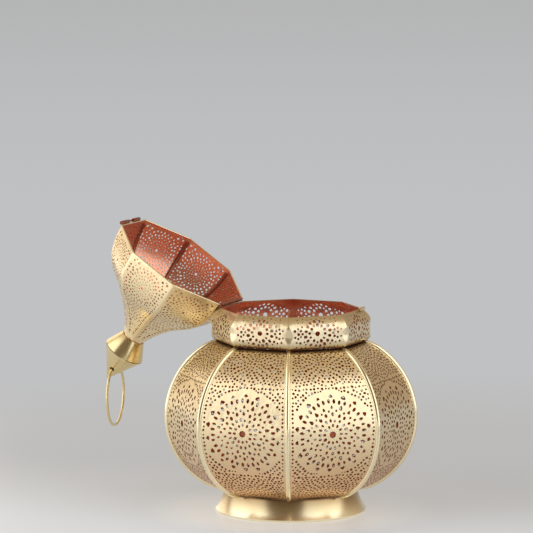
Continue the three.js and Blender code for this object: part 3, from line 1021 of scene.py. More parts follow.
@dataclass
class PiercedSide:
    """One flat side of a shell with its holes.

    Attributes:
        path: The line that the side follows.
        corner_radius: Rounding of the shell's corners.
        flatness: 0 where the corners are rounded, and 1 where they are cut flat.
        corner_strips: Strips that each rounded edge is filled in.
        start: Length left off the side's lower edge.
        margin: Plain metal along the edges.
        bridge: Least metal between two holes.
        mirror_bridge: Least metal between a scattered dot's mirror image and the next hole.
        outline_step: Length between points of the outline.
        edge_land: Plain metal beside a rounded edge.
        facet_middle: Length up the side where the corners' rounding is widest.
        facet_half_length: Length over which it narrows to almost nothing.
        wander: How far a hole may lie off its mark.
        size_spread: How far its size may be off, as a share.
    """

    path: SheetPath
    corner_radius: float = 1.0
    flatness: float = 0.0
    corner_strips: int = 0
    start: float = 0.0
    margin: float = 1.2
    bridge: float = 0.45
    mirror_bridge: float = 0.1
    outline_step: float = 2.4
    edge_land: float = 0.3
    facet_middle: float = 0.0
    facet_half_length: float = 1e6
    wander: float = 0.5
    size_spread: float = 0.2
    holes: list[Hole] = field(default_factory=list)

    def fits(self, hole: Hole, bridge: float) -> bool:
        """Says if a hole lies inside the side and clear of the other holes.

        Args:
            hole: The hole.
            bridge: Metal to leave between it and the next.

        Returns:
            True if it does.
        """
        border = self.margin + hole.reach
        if not self.start + border <= hole.along <= self.path.length - border:
            return False
        room = min(self.path.half_width(hole.along + hole.reach),
                   self.path.half_width(hole.along - hole.reach))
        bend = self.corner_radius * SLOPE if self.corner_strips else 0.0
        if abs(hole.across) + hole.reach + max(self.margin, bend + self.edge_land) > room:
            return False
        for other in self.holes:
            need = hole.reach + other.reach + bridge
            gap = abs(hole.along - other.along)
            if gap < need and math.hypot(hole.across - other.across, gap) < need:
                return False
        return True

    def punch(self, hole: Hole, bridge: Optional[float] = None) -> bool:
        """Adds a hole where there is room for it, and says if there was."""
        if not self.fits(hole, self.bridge if bridge is None else bridge):
            return False
        self.holes.append(hole)
        return True

    def dot(self, across: float, along: float, size: float, bridge: Optional[float] = None) -> bool:
        """Adds a round hole where there is room for it, and says if there was."""
        return self.punch(Hole(across, along, size, size), bridge)

    def rosette(self, across: float, along: float, design: Rosette) -> None:
        """Punches a rosette.

        Args:
            across: The middle's distance from the middle line.
            along: The middle's length up the side.
            design: The rosette.
        """
        self.dot(across, along, design.eye)
        for ring in design.rings:
            for number in range(ring.count):
                spoke = 2 * math.pi * (number + ring.phase) / ring.count + math.pi / 2
                self.punch(Hole(across + ring.radius * math.cos(spoke), along + ring.radius * math.sin(spoke),
                                ring.length, ring.width, spoke, ring.shape))

    def arcs(self, middle: float, design: DotArcs, allowed: Callable[[float], bool]) -> None:
        """Punches arcs of dots.

        Args:
            middle: Length up the side of the place that they go round.
            design: The arcs.
            allowed: Says if dots may lie at a length up the side.
        """
        for number in range(int((design.last - design.first) / design.pitch) + 1):
            radius = design.first + number * design.pitch
            size = design.sizes[number % len(design.sizes)]
            steps = int(math.pi * radius / design.pitch)
            for step in range(steps + 1):
                spoke = math.pi * (step + number % 2 / 2) / steps
                along = middle + radius * math.cos(spoke)
                if allowed(along):
                    for sign in (1, -1):
                        self.dot(sign * radius * math.sin(spoke), along, size)

    def level_row(self, along: float, row: DotRow) -> None:
        """Punches a level row of dots at a length up the side, outwards from the middle line."""
        reach = self.path.half_width(along) - row.inset
        for number in range(int(reach / row.pitch) + 1):
            for sign in (1, -1):
                self.dot(sign * number * row.pitch, along, row.sizes[number % len(row.sizes)])

    def edge_rows(self, row: DotRow, low: float, high: float) -> None:
        """Punches a row of dots up each long edge.

        Args:
            row: The row.
            low: Length up the side where the rows start.
            high: Length where they end.
        """
        for number in range(int((high - low) / row.pitch) + 1):
            along = low + number * row.pitch
            for sign in (1, -1):
                self.dot(sign * (self.path.half_width(along) - row.inset), along,
                         row.sizes[number % len(row.sizes)])

    def scatter(self, design: DotScatter,
                allowed: Callable[[float, float], bool] = lambda across, along: True) -> None:
        """Fills the room that is left with dots, the same on both sides of the middle line.

        Args:
            design: The dots.
            allowed: Says if a dot may lie at a place.
        """
        draw = random.Random(design.seed)
        widest = max(self.path.half_width(along) for along in self.path.lengths)
        for size in design.sizes:
            for _ in range(design.tries):
                across = draw.uniform(size / 2 + design.bridge / 2, widest)
                along = draw.uniform(self.start, self.path.length)
                if allowed(across, along) and self.dot(across, along, size, design.bridge):
                    self.dot(-across, along, size, self.mirror_bridge)

    def strike_by_hand(self, seed: int) -> None:
        """Moves each hole a little off its mark, where its neighbours leave room.

        Args:
            seed: Seed of the moves.
        """
        draw = random.Random(seed)
        for number in range(len(self.holes)):
            marked = self.holes.pop(number)
            size = 1 + draw.uniform(-self.size_spread, self.size_spread)
            struck = replace(marked, across=marked.across + draw.uniform(-self.wander, self.wander),
                             along=marked.along + draw.uniform(-self.wander, self.wander),
                             length=marked.length * size, width=marked.width * size)
            self.holes.insert(number, struck if self.fits(struck, self.bridge) else marked)

    def strips(self) -> list[list[Point]]:
        """The side's outline as closed strips: the pierced middle, then the rounded edges."""
        steps = max(2, round((self.path.length - self.start) / self.outline_step))
        heights = [self.start + (self.path.length - self.start) * i / steps for i in range(steps + 1)]
        bend = self.corner_radius * SLOPE
        insets = [0.0]
        if self.corner_strips:
            insets = [bend * (1 - i / self.corner_strips) for i in range(self.corner_strips + 1)]

        def edge(inset: float, side: int) -> list[Point]:
            """The line up one side, in from its long edge."""
            return [(side * (self.path.half_width(along) - inset), along) for along in heights]

        loops = [edge(insets[0], 1) + edge(insets[0], -1)[::-1]]
        for outer, inner in zip(insets, insets[1:]):
            loops += [edge(inner, side) + edge(outer, side)[::-1] for side in (1, -1)]
        return loops

    def layout_mesh(self, name: str) -> bpy.types.Mesh:
        """The outline's edges and the holes' places, with what the piercing tree reads.

        Args:
            name: The mesh's name.

        Returns:
            The mesh, in metres.
        """
        points: list[Vector] = []
        edges: list[tuple[int, int]] = []
        strips: list[int] = []
        for number, loop in enumerate(self.strips()):
            first = len(points)
            points += [Vector((x, y, 0)) * MM for x, y in loop]
            edges += [(first + i, first + (i + 1) % len(loop)) for i in range(len(loop))]
            strips += [number] * len(loop)
        lines = len(points)
        points += [Vector((h.across, h.along, 0)) * MM for h in self.holes]
        mesh = bpy.data.meshes.new(name)
        mesh.from_pydata(points, edges, [])
        sizes = [0.0] * (3 * lines)
        for hole in self.holes:
            sizes += [hole.length * MM, hole.width * MM, 1.0]
        for attribute, kind, key, values in (
                ("strip", "INT", "value", strips + [0] * len(self.holes)),
                ("is_hole", "BOOLEAN", "value", [False] * lines + [True] * len(self.holes)),
                ("turn", "FLOAT", "value", [0.0] * lines + [h.turn for h in self.holes]),
                ("shape", "INT", "value", [0] * lines + [int(h.shape) for h in self.holes]),
                ("size", "FLOAT_VECTOR", "vector", sizes)):
            mesh.attributes.new(attribute, kind, "POINT").data.foreach_set(key, values)
        return mesh

    def mesh(self, name: str, tree: PiercingTree, outside: Finish, inside: Finish) -> bpy.types.Mesh:
        """The bent and pierced side that faces -Y.

        Args:
            name: The mesh's name.
            tree: The piercing tree.
            outside: Finish of the outside.
            inside: Finish of the inside. The holes' walls are painted dark, as shade in the holes.

        Returns:
            The mesh, in metres.
        """
        line = mesh_object(name + "_path", line_mesh(name + "_path", self.path.middle_line()))
        made = tree.mesh_from(name, self.layout_mesh(name + "_layout"), {
            "Thickness": SHEET * MM, "Corner radius": self.corner_radius * MM,
            "Half gap": HALF_FOLD * MM, "Path": line, "Flatness": self.flatness,
            "Facet middle": self.facet_middle * MM, "Facet half length": self.facet_half_length * MM,
            "Outside finish": outside.material(), "Edge finish": EDGE_SHADE.material(),
            "Inside finish": inside.material()})
        bpy.data.objects.remove(line)
        for attribute in ("strip", "is_hole", "turn", "shape", "size", "edge", "inner"):
            if attribute in made.attributes:
                made.attributes.remove(made.attributes[attribute])
        smooth(made)
        return made


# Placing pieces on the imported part


def place(name: str, mesh: bpy.types.Mesh, body: Body, nodes: Sequence[str] = (),
          matrix: Optional[Matrix] = None) -> None:
    """Adds a finished piece to the lantern.

    Args:
        name: The piece's name.
        mesh: Its mesh, which becomes the piece's own.
        body: The body it rides on.
        nodes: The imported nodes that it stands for.
        matrix: Where its mesh goes, if it isn't drawn in place.
    """
    if matrix is not None:
        mesh.transform(matrix)
    mesh.name = name
    piece = mesh_object(name, mesh)
    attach(piece, body.value)
    if nodes:
        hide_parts(*nodes)
    LOG.info("%s: %d faces on %s", name, len(mesh.polygons), body.value)


def about_z(turn: float) -> Matrix:
    """A turn about the lantern's axis."""
    return Matrix.Rotation(turn, 4, "Z")


def to_side(number: int) -> Matrix:
    """The turn from the side that faces -Y to the side of a number."""
    return about_z(2 * HALF_SIDE * number)


def to_corner(number: int) -> Matrix:
    """The turn from -Y to the corner after the side of a number."""
    return about_z(HALF_SIDE * (2 * number + 1))


def joint(name: str) -> dict:
    """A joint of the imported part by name."""
    return next(j for j in frame["joints"] if j["name"] == name)


def lid_opening() -> Matrix:
    """The move that takes the lid, drawn shut, to where it rests open."""
    hinge = joint("lid_hinge")
    pivot = Matrix.Translation(Vector(hinge["pos_m"]))
    swing = Matrix.Rotation(-math.radians(hinge["range_deg"][1]), 4, Vector(hinge["axis"]))
    return pivot @ swing @ pivot.inverted()


def alongside_y(middle: Point) -> Matrix:
    """Lays a piece turned about Z along Y, through a place given in X and Z."""
    lie = Matrix.Rotation(-math.pi / 2, 4, "X")
    return Matrix.Translation(Vector((middle[0], 0, middle[1])) * MM) @ lie


# Sub-assemblies


@dataclass
class Foot:
    """The spun foot, the flange over it, the floor plate in it and the candle cup on the floor."""

    radius: float = 59.5
    height: float = 16.7
    edge: float = 1.6
    wall: float = 1.0
    lip_inset: float = 0.25
    lip_rise: float = 0.35
    waist_radius: float = 54.6
    waist_height: float = 7.5
    top_radius: float = 52.8
    flare_steps: int = 24
    flange_radius: float = 56.5
    flange_width: float = 1.4
    flange_gap: float = 0.03
    floor: float = 0.8
    cup_radius: float = 22.0
    cup_height: float = 12.0
    cup_wall: float = 0.8
    cup_ease: float = 0.3
    cup_segments: int = 64
    segments: int = 128

    def build(self) -> None:
        """Builds and places the foot's pieces."""
        self.build_ring()
        reach = self.radius - self.wall - SOLDER_GAP
        plate = turned_piece("floor", [(0, 0), (reach, 0), (reach, self.floor), (0, self.floor)],
                             self.segments, SHADED_LACQUER)
        place("floor", plate, Body.LANTERN, ["floor_plate"])
        self.build_flange()
        self.build_cup()

    def build_ring(self) -> None:
        """Builds and places the flared foot, which is lacquered inside."""
        flare = bezier([(self.radius, self.edge), (self.waist_radius, self.waist_height),
                        (self.top_radius, self.height)], self.flare_steps)
        inner = [(r - self.wall, z) for r, z in reversed(flare)]
        outline = [(self.radius - self.lip_inset, 0.0), (self.radius, self.lip_rise), *flare, *inner,
                   (self.radius - self.wall, 0.0)]
        ring = turned_piece("foot", outline, self.segments, FOOT_BRASS)
        ring.materials.append(SHADED_LACQUER.material())
        for face in ring.polygons:
            face.material_index = int(face.center.xy.dot(face.normal.xy) < 0)
        place("foot", ring, Body.LANTERN, ["foot_ring"])

    def build_flange(self) -> None:
        """Builds and places the thin eight-sided plate that closes the body's corners over the round foot."""
        low = self.height + self.flange_gap
        high = self.height + SOLDER_GAP
        inner = self.top_radius - self.flange_width
        outline = [(inner, low), (self.flange_radius, low), (self.flange_radius, high), (inner, high)]
        flange = turned_mesh("flange", outline, SIDES)
        flange.materials.append(SHADED_LACQUER.material())
        flange.materials.append(EDGE_SHADE.material())
        # The outer rim takes the dark edge finish as the painted shadow of the gap between body and foot. The
        # rest takes the darker lacquer.
        for face in flange.polygons:
            face.material_index = int(face.center.xy.dot(face.normal.xy) > 0)
        place("flange", flange, Body.LANTERN, matrix=about_z(HALF_SIDE))

    def build_cup(self) -> None:
        """Builds and places the candle cup."""
        base = self.floor + SOLDER_GAP
        inner = self.cup_radius - self.cup_wall
        outline = bevelled([(0, base), (self.cup_radius, base), (self.cup_radius, base + self.cup_height),
                            (inner, base + self.cup_height), (inner, base + self.cup_wall),
                            (0, base + self.cup_wall)], self.cup_ease)
        cup = turned_piece("cup", outline, self.cup_segments, BROWN_LACQUER)
        place("cup", cup, Body.LANTERN, ["candle_cup"])


@dataclass
class MelonBody:
    """The body's eight pierced sides, with a half-round rib over each corner."""

    radius: float = 98.6
    bottom_radius: float = 56.6
    neck_radius: float = 58.4
    bottom: float = 17.0
    lower_arc: float = 59.4
    upper_arc: float = 67.0
    arc_steps: int = 48
    rib_half_width: float = 2.05
    rib_rise: float = 2.3
    rib_sink: float = 0.8
    rib_tuck: float = 2.2
    rib_tuck_length: float = 5.0
    rib_top_clearance: float = 1.3
    rib_foot_clearance: float = 0.6
    eye_disc_radius: float = 4.2
    eye_disc: float = 0.3
    eye_disc_gap: float = 0.12
    eye_segments: int = 24
    margin: float = 2.9
    upper_rosette: float = 57.5
    lower_rosette: float = 55.5
    upper_row: float = 36.2
    lower_row: float = 36.0
    level_dots: DotRow = DotRow(pitch=3.1, sizes=(2.2, 1.7), inset=3.0)
    edge_dots: DotRow = DotRow(pitch=3.2, sizes=(2.1, 1.7), inset=4.1)
    edge_start: float = 4.0
    edge_end: float = 5.0
    halo: DotArcs = DotArcs(first=35.6, last=52.0, pitch=3.1, sizes=(2.1, 1.9))
    fan: DotArcs = DotArcs(first=19.0, last=46.0, pitch=2.7, sizes=(1.9, 1.7))
    fan_gap: float = 1.7
    filler: DotScatter = DotScatter(seed=11, tries=900, sizes=(1.6, 1.3), bridge=0.6)
    filler_radius: float = 34.6
    hand_seed: int = 31

    def __post_init__(self) -> None:
        """Works out the path of the sides."""
        lower = self.radius - self.lower_arc
        upper = self.radius - self.upper_arc
        lower_angle = math.acos((self.bottom_radius - lower) / self.lower_arc)
        upper_angle = math.acos((self.neck_radius - upper) / self.upper_arc)
        self.equator = self.bottom + self.lower_arc * math.sin(lower_angle)
        self.neck = self.equator + self.upper_arc * math.sin(upper_angle)
        self.path = SheetPath(joined(
            arc((lower, self.equator), self.lower_arc, -lower_angle, 0, self.arc_steps),
            arc((upper, self.equator), self.upper_arc, 0, upper_angle, self.arc_steps)))

    def layout(self) -> PiercedSide:
        """Sets out one side: a large rosette, a small one above and below, and dots in the rest."""
        side = PiercedSide(self.path, margin=self.margin)
        middle = self.path.along(self.equator)
        upper, lower = middle + self.upper_rosette, middle - self.lower_rosette
        high_row, low_row = middle + self.upper_row, middle - self.lower_row
        side.rosette(0, middle, BODY_ROSETTE)
        side.rosette(0, upper, SMALL_ROSETTE)
        side.rosette(0, lower, SMALL_ROSETTE)
        for along in (high_row, low_row):
            side.level_row(along, self.level_dots)
        side.edge_rows(self.edge_dots, self.edge_start, self.path.length - self.edge_end)
        side.arcs(middle, self.halo, lambda along: low_row < along < high_row)
        side.arcs(upper, self.fan, lambda along: along > high_row + self.fan_gap)
        side.arcs(lower, self.fan, lambda along: along < low_row - self.fan_gap)
        side.scatter(self.filler,
                     lambda across, along: math.hypot(across, along - middle) > self.filler_radius)
        side.strike_by_hand(self.hand_seed)
        return side

    def build(self, piercing: PiercingTree, strip: StripTree) -> None:
        """Builds and places the sides, the ribs and the discs behind the rosettes' eyes.

        Args:
            piercing: The piercing tree.
            strip: The tree that sweeps the ribs.
        """
        # The body's inside takes the darker copy of the lacquer, as painted shade.
        side = self.layout().mesh("body_side", piercing, BODY_BRASS, SHADED_LACQUER)
        rib = strip.strip("rib", self.rib_line(), self.rib_half_width, self.rib_rise, RIB_BRASS)
        for number in range(SIDES):
            place(f"side_{number + 1}", side.copy(), Body.LANTERN,
                  [f"body_panel_{number + 1}"], to_side(number))
            place(f"rib_{number + 1}", rib.copy(), Body.LANTERN,
                  [f"body_rib_{number + 1}"], to_corner(number))
        eye = self.eye_mesh()
        for number in range(SIDES):
            place(f"eye_{number + 1}", eye.copy(), Body.LANTERN, matrix=to_side(number))

    def eye_mesh(self) -> bpy.types.Mesh:
        """The lacquered disc behind the eye of the rosette that faces -Y."""
        outline = [(0, 0), (self.eye_disc_radius, 0), (self.eye_disc_radius, self.eye_disc),
                   (0, self.eye_disc)]
        disc = turned_piece("eye", outline, self.eye_segments, EYE_LACQUER)
        back = self.radius * FLAT - SHEET - self.eye_disc_gap - self.eye_disc
        upright = Matrix.Rotation(math.pi / 2, 4, "X")
        disc.transform(Matrix.Translation(Vector((0, -back, self.equator)) * MM) @ upright)
        return disc

    def rib_line(self) -> list[Vector]:
        """The line of the rib's flat side, which dips into the sheet at both ends."""
        low = self.bottom + self.rib_foot_clearance
        high = self.neck - self.rib_top_clearance
        line = []
        for radius, height in self.path.points:
            if low <= height <= high:
                left = min(height - low, high - height) / self.rib_tuck_length
                sink = self.rib_sink + self.rib_tuck * max(0.0, 1 - left) ** 2
                line.append(Vector((0, -(radius - sink), height)) * MM)
        return line


@dataclass
class Collar:
    """The upright collar round the mouth, with its corners cut flat."""

    bottom: float
    foot_radius: float = 58.4
    radius: float = 63.4
    height: float = 25.2
    foot_rise: float = 6.4
    shoulder_rise: float = 9.5
    shoulder_bend: float = 6.0
    rim_radius: float = 56.3
    foot_steps: int = 16
    wall_steps: int = 8
    shoulder_steps: int = 24
    corner_radius: float = 8.2
    corner_strips: int = 4
    outline_step: float = 1.2
    facet_height: float = 10.5
    facet_half_length: float = 9.5
    bud_offset: float = 16.3
    rim_row_drops: tuple[float, ...] = (3.0, 6.0)
    rim_dots: DotRow = DotRow(pitch=3.8, sizes=(1.2, 1.0), inset=4.0)
    foot_row_rise: float = 2.0
    foot_dots: DotRow = DotRow(pitch=3.4, sizes=(1.5, 1.3), inset=4.0)
    filler: DotScatter = DotScatter(seed=7, tries=300, sizes=(2.0, 1.7), bridge=0.75)
    filler_drop: float = 8.0
    hand_seed: int = 32

    def __post_init__(self) -> None:
        """Works out the path of the sides."""
        self.rim = self.bottom + self.height
        foot_end = (self.radius, self.bottom + self.foot_rise)
        shoulder = (self.radius, self.rim - self.shoulder_rise)
        self.path = SheetPath(joined(
            bezier([(self.foot_radius, self.bottom), (self.radius, self.bottom), foot_end], self.foot_steps),
            bezier([foot_end, shoulder], self.wall_steps),
            bezier([shoulder, (self.radius, self.rim - self.shoulder_bend), (self.rim_radius, self.rim)],
                   self.shoulder_steps)))

    def layout(self) -> PiercedSide:
        """Sets out one side: a flower in the middle, a bud on each side of it, and dots."""
        middle = self.path.along(self.bottom + self.height / 2)
        side = PiercedSide(
            self.path, corner_radius=self.corner_radius, flatness=1.0, corner_strips=self.corner_strips,
            outline_step=self.outline_step, facet_middle=self.path.along(self.bottom + self.facet_height),
            facet_half_length=self.facet_half_length)
        side.rosette(0, middle, COLLAR_FLOWER)
        for sign in (1, -1):
            side.rosette(sign * self.bud_offset, middle, COLLAR_BUD)
        for drop in self.rim_row_drops:
            side.level_row(self.path.length - drop, self.rim_dots)
        side.level_row(self.path.along(self.bottom + self.foot_row_rise), self.foot_dots)
        side.scatter(self.filler, lambda across, along: along < self.path.length - self.filler_drop)
        side.strike_by_hand(self.hand_seed)
        return side

    def build(self, piercing: PiercingTree) -> None:
        """Builds and places the sides."""
        side = self.layout().mesh("collar_side", piercing, COLLAR_BRASS, RED_LACQUER)
        for number in range(SIDES):
            place(f"collar_{number + 1}", side.copy(), Body.LANTERN,
                  [f"collar_panel_{number + 1}"], to_side(number))


@dataclass
class DomeLid:
    """The lid's eight pierced sides and the strips inside its corners. It is drawn shut."""

    rim_height: float
    rim_radius: float = 56.3
    height: float = 76.2
    neck_radius: float = 9.6
    belly: tuple[Point, ...] = ((55.4, 20.0), (51.0, 30.0))
    shoulder: Point = (37.0, 41.0)
    spire: tuple[Point, ...] = ((27.6, 48.4), (12.8, 66.0))
    path_steps: int = 40
    corner_radius: float = 2.4
    corner_strips: int = 2
    margin: float = 1.3
    hinge_trim: float = 2.7
    hinge_side: int = 6
    seam_depth: float = 1.5
    seam_half_width: float = 1.6
    seam_rise: float = 1.1
    seam_rim_clearance: float = 2.5
    seam_neck_clearance: float = 4.0
    hem_half_width: float = 0.65
    hem_rise: float = 0.45
    rosette_rise: float = 19.6
    rim_dot_rise: float = 4.2
    rim_dot_insets: tuple[float, ...] = (4.0, 8.6)
    rim_dot: float = 2.0
    edge_dots: DotRow = DotRow(pitch=2.9, sizes=(1.8, 1.4), inset=3.0)
    edge_start: float = 6.0
    edge_end: float = 8.0
    fan: DotArcs = DotArcs(first=18.6, last=48.0, pitch=2.8, sizes=(1.2, 1.4))
    fan_rise: float = 12.0
    filler: DotScatter = DotScatter(seed=23, tries=260, sizes=(1.4, 1.1), bridge=1.0)
    hand_seed: int = 33

    def __post_init__(self) -> None:
        """Works out the path of the sides."""
        lower = [(self.rim_radius, 0.0), *self.belly, self.shoulder]
        upper = [self.shoulder, *self.spire, (self.neck_radius, self.height)]
        self.path = SheetPath(joined(*(
            bezier([(radius, self.rim_height + rise) for radius, rise in stretch], self.path_steps)
            for stretch in (lower, upper))))

    def layout(self, start: float = 0.0) -> PiercedSide:
        """Sets out one side: a rosette in its wide part, and dots up to the neck.

        Args:
            start: Length left off at the rim.

        Returns:
            The side with its holes.
        """
        side = PiercedSide(self.path, corner_radius=self.corner_radius, corner_strips=self.corner_strips,
                           margin=self.margin, start=start)
        side.rosette(0, self.rosette_rise, LID_ROSETTE)
        reach = self.path.half_width(self.rim_dot_rise)
        for inset in self.rim_dot_insets:
            for sign in (1, -1):
                side.dot(sign * (reach - inset), self.rim_dot_rise, self.rim_dot)
        side.edge_rows(self.edge_dots, self.edge_start, self.path.length - self.edge_end)
        side.arcs(self.rosette_rise, self.fan, lambda along: along > self.rosette_rise + self.fan_rise)
        side.scatter(self.filler)
        side.strike_by_hand(self.hand_seed)
        return side

    def hem_line(self) -> list[Vector]:
        """The line along the rim of the side that faces -Y, flush with the sheet's inside."""
        reach = self.rim_radius * FLAT - SHEET + self.hem_half_width
        half = reach * SLOPE
        return [Vector((x, -reach, self.rim_height)) * MM for x in (half, -half)]

    def seam_line(self) -> list[Vector]:
        """The line inside a corner, short of the rim and the neck."""
        low = self.rim_height + self.seam_rim_clearance
        high = self.rim_height + self.height - self.seam_neck_clearance
        line = self.path.corner_line(-self.seam_depth / FLAT)
        return [p for p in reversed(line) if low * MM <= p.z <= high * MM]

    def build(self, piercing: PiercingTree, strip: StripTree) -> None:
        """Builds and places the sides, the hems along the rim and the inner strips.

        Args:
            piercing: The piercing tree.
            strip: The tree that sweeps the hems and the inner strips.
        """
        opening = lid_opening()
        plain = self.layout().mesh("lid_side", piercing, LID_BRASS, RED_LACQUER)
        trimmed = self.layout(self.hinge_trim).mesh("lid_hinge_side", piercing, LID_BRASS, RED_LACQUER)
        seam = strip.strip("seam", self.seam_line(), self.seam_half_width, self.seam_rise, BROWN_LACQUER)
        hem = strip.strip("hem", self.hem_line(), self.hem_half_width, self.hem_rise, RIB_BRASS,
                          Vector((0, 1, 0)))
        for number in range(SIDES):
            if number != self.hinge_side:
                place(f"hem_{number + 1}", hem.copy(), Body.LID, matrix=opening @ to_side(number))
            side = trimmed if number == self.hinge_side else plain
            place(f"lid_{number + 1}", side.copy(), Body.LID, [f"lid_panel_{number + 1}"],
                  opening @ to_side(number))
            place(f"seam_{number + 1}", seam.copy(), Body.LID, [f"lid_seam_{number + 1}"],
                  opening @ to_corner(number))


@dataclass
class Finial:
    """The double-cone finial on the lid's neck, and the wire ring through its tip. It is drawn shut."""

    base: float
    neck_radius: float = 9.6
    radius: float = 16.7
    cup_height: float = 14.2
    cup_ease: float = 0.35
    cone_height: float = 27.4
    wall: float = 1.0
    lip_inset: float = 0.2
    lip_rise: float = 0.25
    tip_radius: float = 0.9
    tip_start: float = 0.5
    tip_steps: int = 5
    ring_hole_drop: float = 11.2
    ring_hole_radius: float = 2.0
    ring_hole_segments: int = 32
    ring_radius: float = 24.3
    wire_radius: float = 1.1
    wire_segments: int = 16
    segments: int = 96
    sharp_degrees: float = 30.0

    @property
    def slope(self) -> float:
        """How much the cone's radius grows to each millimetre down."""
        return (self.radius - self.tip_radius) / self.cone_height

    def build(self) -> None:
        """Builds and places the finial and the ring."""
        opening = lid_opening()
        top = self.base + self.cup_height
        floor = self.base + self.wall
        cup_outline = bevelled([
            (0, self.base), (self.neck_radius, self.base), (self.radius, top), (self.radius - self.wall, top),
            (self.neck_radius - self.wall, floor), (0, floor)], self.cup_ease)
        cup = turned_piece("finial_cup_look", cup_outline, self.segments, SPUN_BRASS, self.sharp_degrees)
        place("finial_lower", cup, Body.LID, ["finial_cup"], opening)
        place("finial_upper", self.cone_mesh(), Body.LID, ["finial_cone"], opening)
        self.build_ring()

    def cone_mesh(self) -> bpy.types.Mesh:
        """The hollow cone with the two holes that the ring passes through."""
        base = self.base + self.cup_height + SOLDER_GAP
        apex = base + self.cone_height
        outline = [(0, apex - (self.wall + self.tip_radius) / self.slope), (self.radius - self.wall, base),
                   (self.radius - self.lip_inset, base), (self.radius, base + self.lip_rise),
                   *arc((0, apex - self.tip_radius), self.tip_radius, self.tip_start, math.pi / 2,
                        self.tip_steps)]
        outline[-1] = (0, apex)
        mesh = turned_mesh("finial_cone_look", outline, self.segments)
        mesh.materials.append(SPUN_BRASS.material())
        carrier = mesh_object("cone_carrier", mesh)
        drill = turned_mesh("drill", [(0, -self.radius), (self.ring_hole_radius, -self.radius),
                                      (self.ring_hole_radius, self.radius), (0, self.radius)],
                            self.ring_hole_segments)
        line = lid_opening().inverted().to_3x3() @ Vector(joint("ring_swing")["axis"])
        turn = math.atan2(-line.x, line.y)
        drill.transform(about_z(turn) @ alongside_y((0, apex - self.ring_hole_drop)))
        cutter = mesh_object("cone_cutter", drill)
        cut = carrier.modifiers.new("holes", "BOOLEAN")
        cut.operation = "DIFFERENCE"
        cut.solver = "EXACT"
        cut.object = cutter
        made = finished_mesh(carrier)
        bpy.data.objects.remove(cutter)
        smooth(made, self.sharp_degrees)
        return made

    def build_ring(self) -> None:
        """Builds and places the ring, which hangs down from the line of its holes."""
        pivot = Vector(joint("ring_swing")["pos_m"])
        line = Vector(joint("ring_swing")["axis"]).normalized()
        down = Vector((0, 0, -1)) - line * -line.z
        down.normalize()
        facing = line.cross(down)
        span = self.tip_radius + self.slope * self.ring_hole_drop - self.wall / 2
        drop = math.sqrt(self.ring_radius**2 - span**2)
        wire = arc((self.ring_radius, 0), self.wire_radius, 0, 2 * math.pi, self.wire_segments)[:-1]
        ring = turned_piece("ring_look", wire, self.segments, SPUN_BRASS)
        hung = Matrix((line, facing.cross(line), facing)).transposed().to_4x4()
        place("ring", ring, Body.RING, ["hanging_ring"],
              Matrix.Translation(pivot + down * drop * MM) @ hung)


@dataclass
class HingeAndClasp:
    """The hinge at -X and the sliding clasp at +X, all small tubes and pins along Y."""

    rim: float
    rim_radius: float = 56.3
    lid_gap: float = 1.2
    tube_radius: float = 1.5
    bore_radius: float = 1.0
    clearance: float = 0.35
    hinge_offset: float = 0.25
    hinge_rise: float = 1.85
    half_length: float = 19.4
    lid_tube: float = 15.2
    pin_radius: float = 0.75
    pin_head_radius: float = 1.25
    pin_head: float = 0.6
    clasp_offset: float = 2.0
    near_tube: float = 11.4
    space: float = 9.2
    far_tube: float = 11.4
    bead: float = 1.8
    bead_radius: float = 1.4
    ease: float = 0.15
    ease_steps: int = 2
    segments: int = 32

    def build(self) -> None:
        """Builds and places the hinge and the clasp."""
        opening = lid_opening()
        hinge = alongside_y((-(self.rim_radius * FLAT + self.hinge_offset), self.rim + self.hinge_rise))
        clasp = alongside_y((self.rim_radius * FLAT + self.clasp_offset, self.rim + self.lid_gap / 2))
        half = self.half_length
        lid_end = self.lid_tube / 2
        fixed_end = lid_end + self.clearance
        near_end = self.near_tube - half
        far_start = near_end + self.space
        far_end = far_start + self.far_tube
        tubes = [
            ("hinge_near", "hinge_tube_near", -half, -fixed_end, Body.LANTERN, hinge),
            ("hinge_far", "hinge_tube_far", fixed_end, half, Body.LANTERN, hinge),
            ("hinge_middle", "hinge_tube_lid", -lid_end, lid_end, Body.LID, opening @ hinge),
            ("clasp_near", "clasp_tube_near", -half, near_end, Body.LID, opening @ clasp),
            ("clasp_far", "clasp_tube_far", far_start, far_end, Body.LID, opening @ clasp)]
        for name, node, start, end, body, matrix in tubes:
            place(name, self.tube(name, start, end, BROWN_LACQUER), body, [node], matrix)
        keeper = self.tube("keeper", far_end + self.clearance, half, RIB_BRASS)
        place("keeper", keeper, Body.LANTERN, ["clasp_keeper"], clasp)
        head = half + self.clearance
        tip = head + self.pin_head
        pin = self.eased("pin", [
            (0, -tip), (self.pin_head_radius, -tip), (self.pin_head_radius, -head), (self.pin_radius, -head),
            (self.pin_radius, head), (self.pin_head_radius, head), (self.pin_head_radius, tip), (0, tip)],
            BROWN_LACQUER)
        place("pin", pin, Body.LANTERN, ["hinge_pin"], hinge)
        bead_start = near_end + self.clearance
        bead_end = bead_start + self.bead
        bolt = self.eased("bolt", [
            (0, -half), (self.pin_radius, -half), (self.pin_radius, bead_start),
            (self.bead_radius, bead_start), (self.bead_radius, bead_end), (self.pin_radius, bead_end),
            (self.pin_radius, far_end), (0, far_end)], BROWN_LACQUER)
        place("bolt", bolt, Body.BOLT, ["clasp_bolt"], opening @ clasp)

    def tube(self, name: str, start: float, end: float, finish: Finish) -> bpy.types.Mesh:
        """A tube about Z between two heights, with eased edges."""
        return self.eased(name, [(self.tube_radius, start), (self.tube_radius, end), (self.bore_radius, end),
                                 (self.bore_radius, start)], finish)

    def eased(self, name: str, outline: Sequence[Point], finish: Finish) -> bpy.types.Mesh:
        """A piece turned about Z with eased edges."""
        return turned_piece(name, bevelled(outline, self.ease, self.ease_steps), self.segments, finish)


# Studio


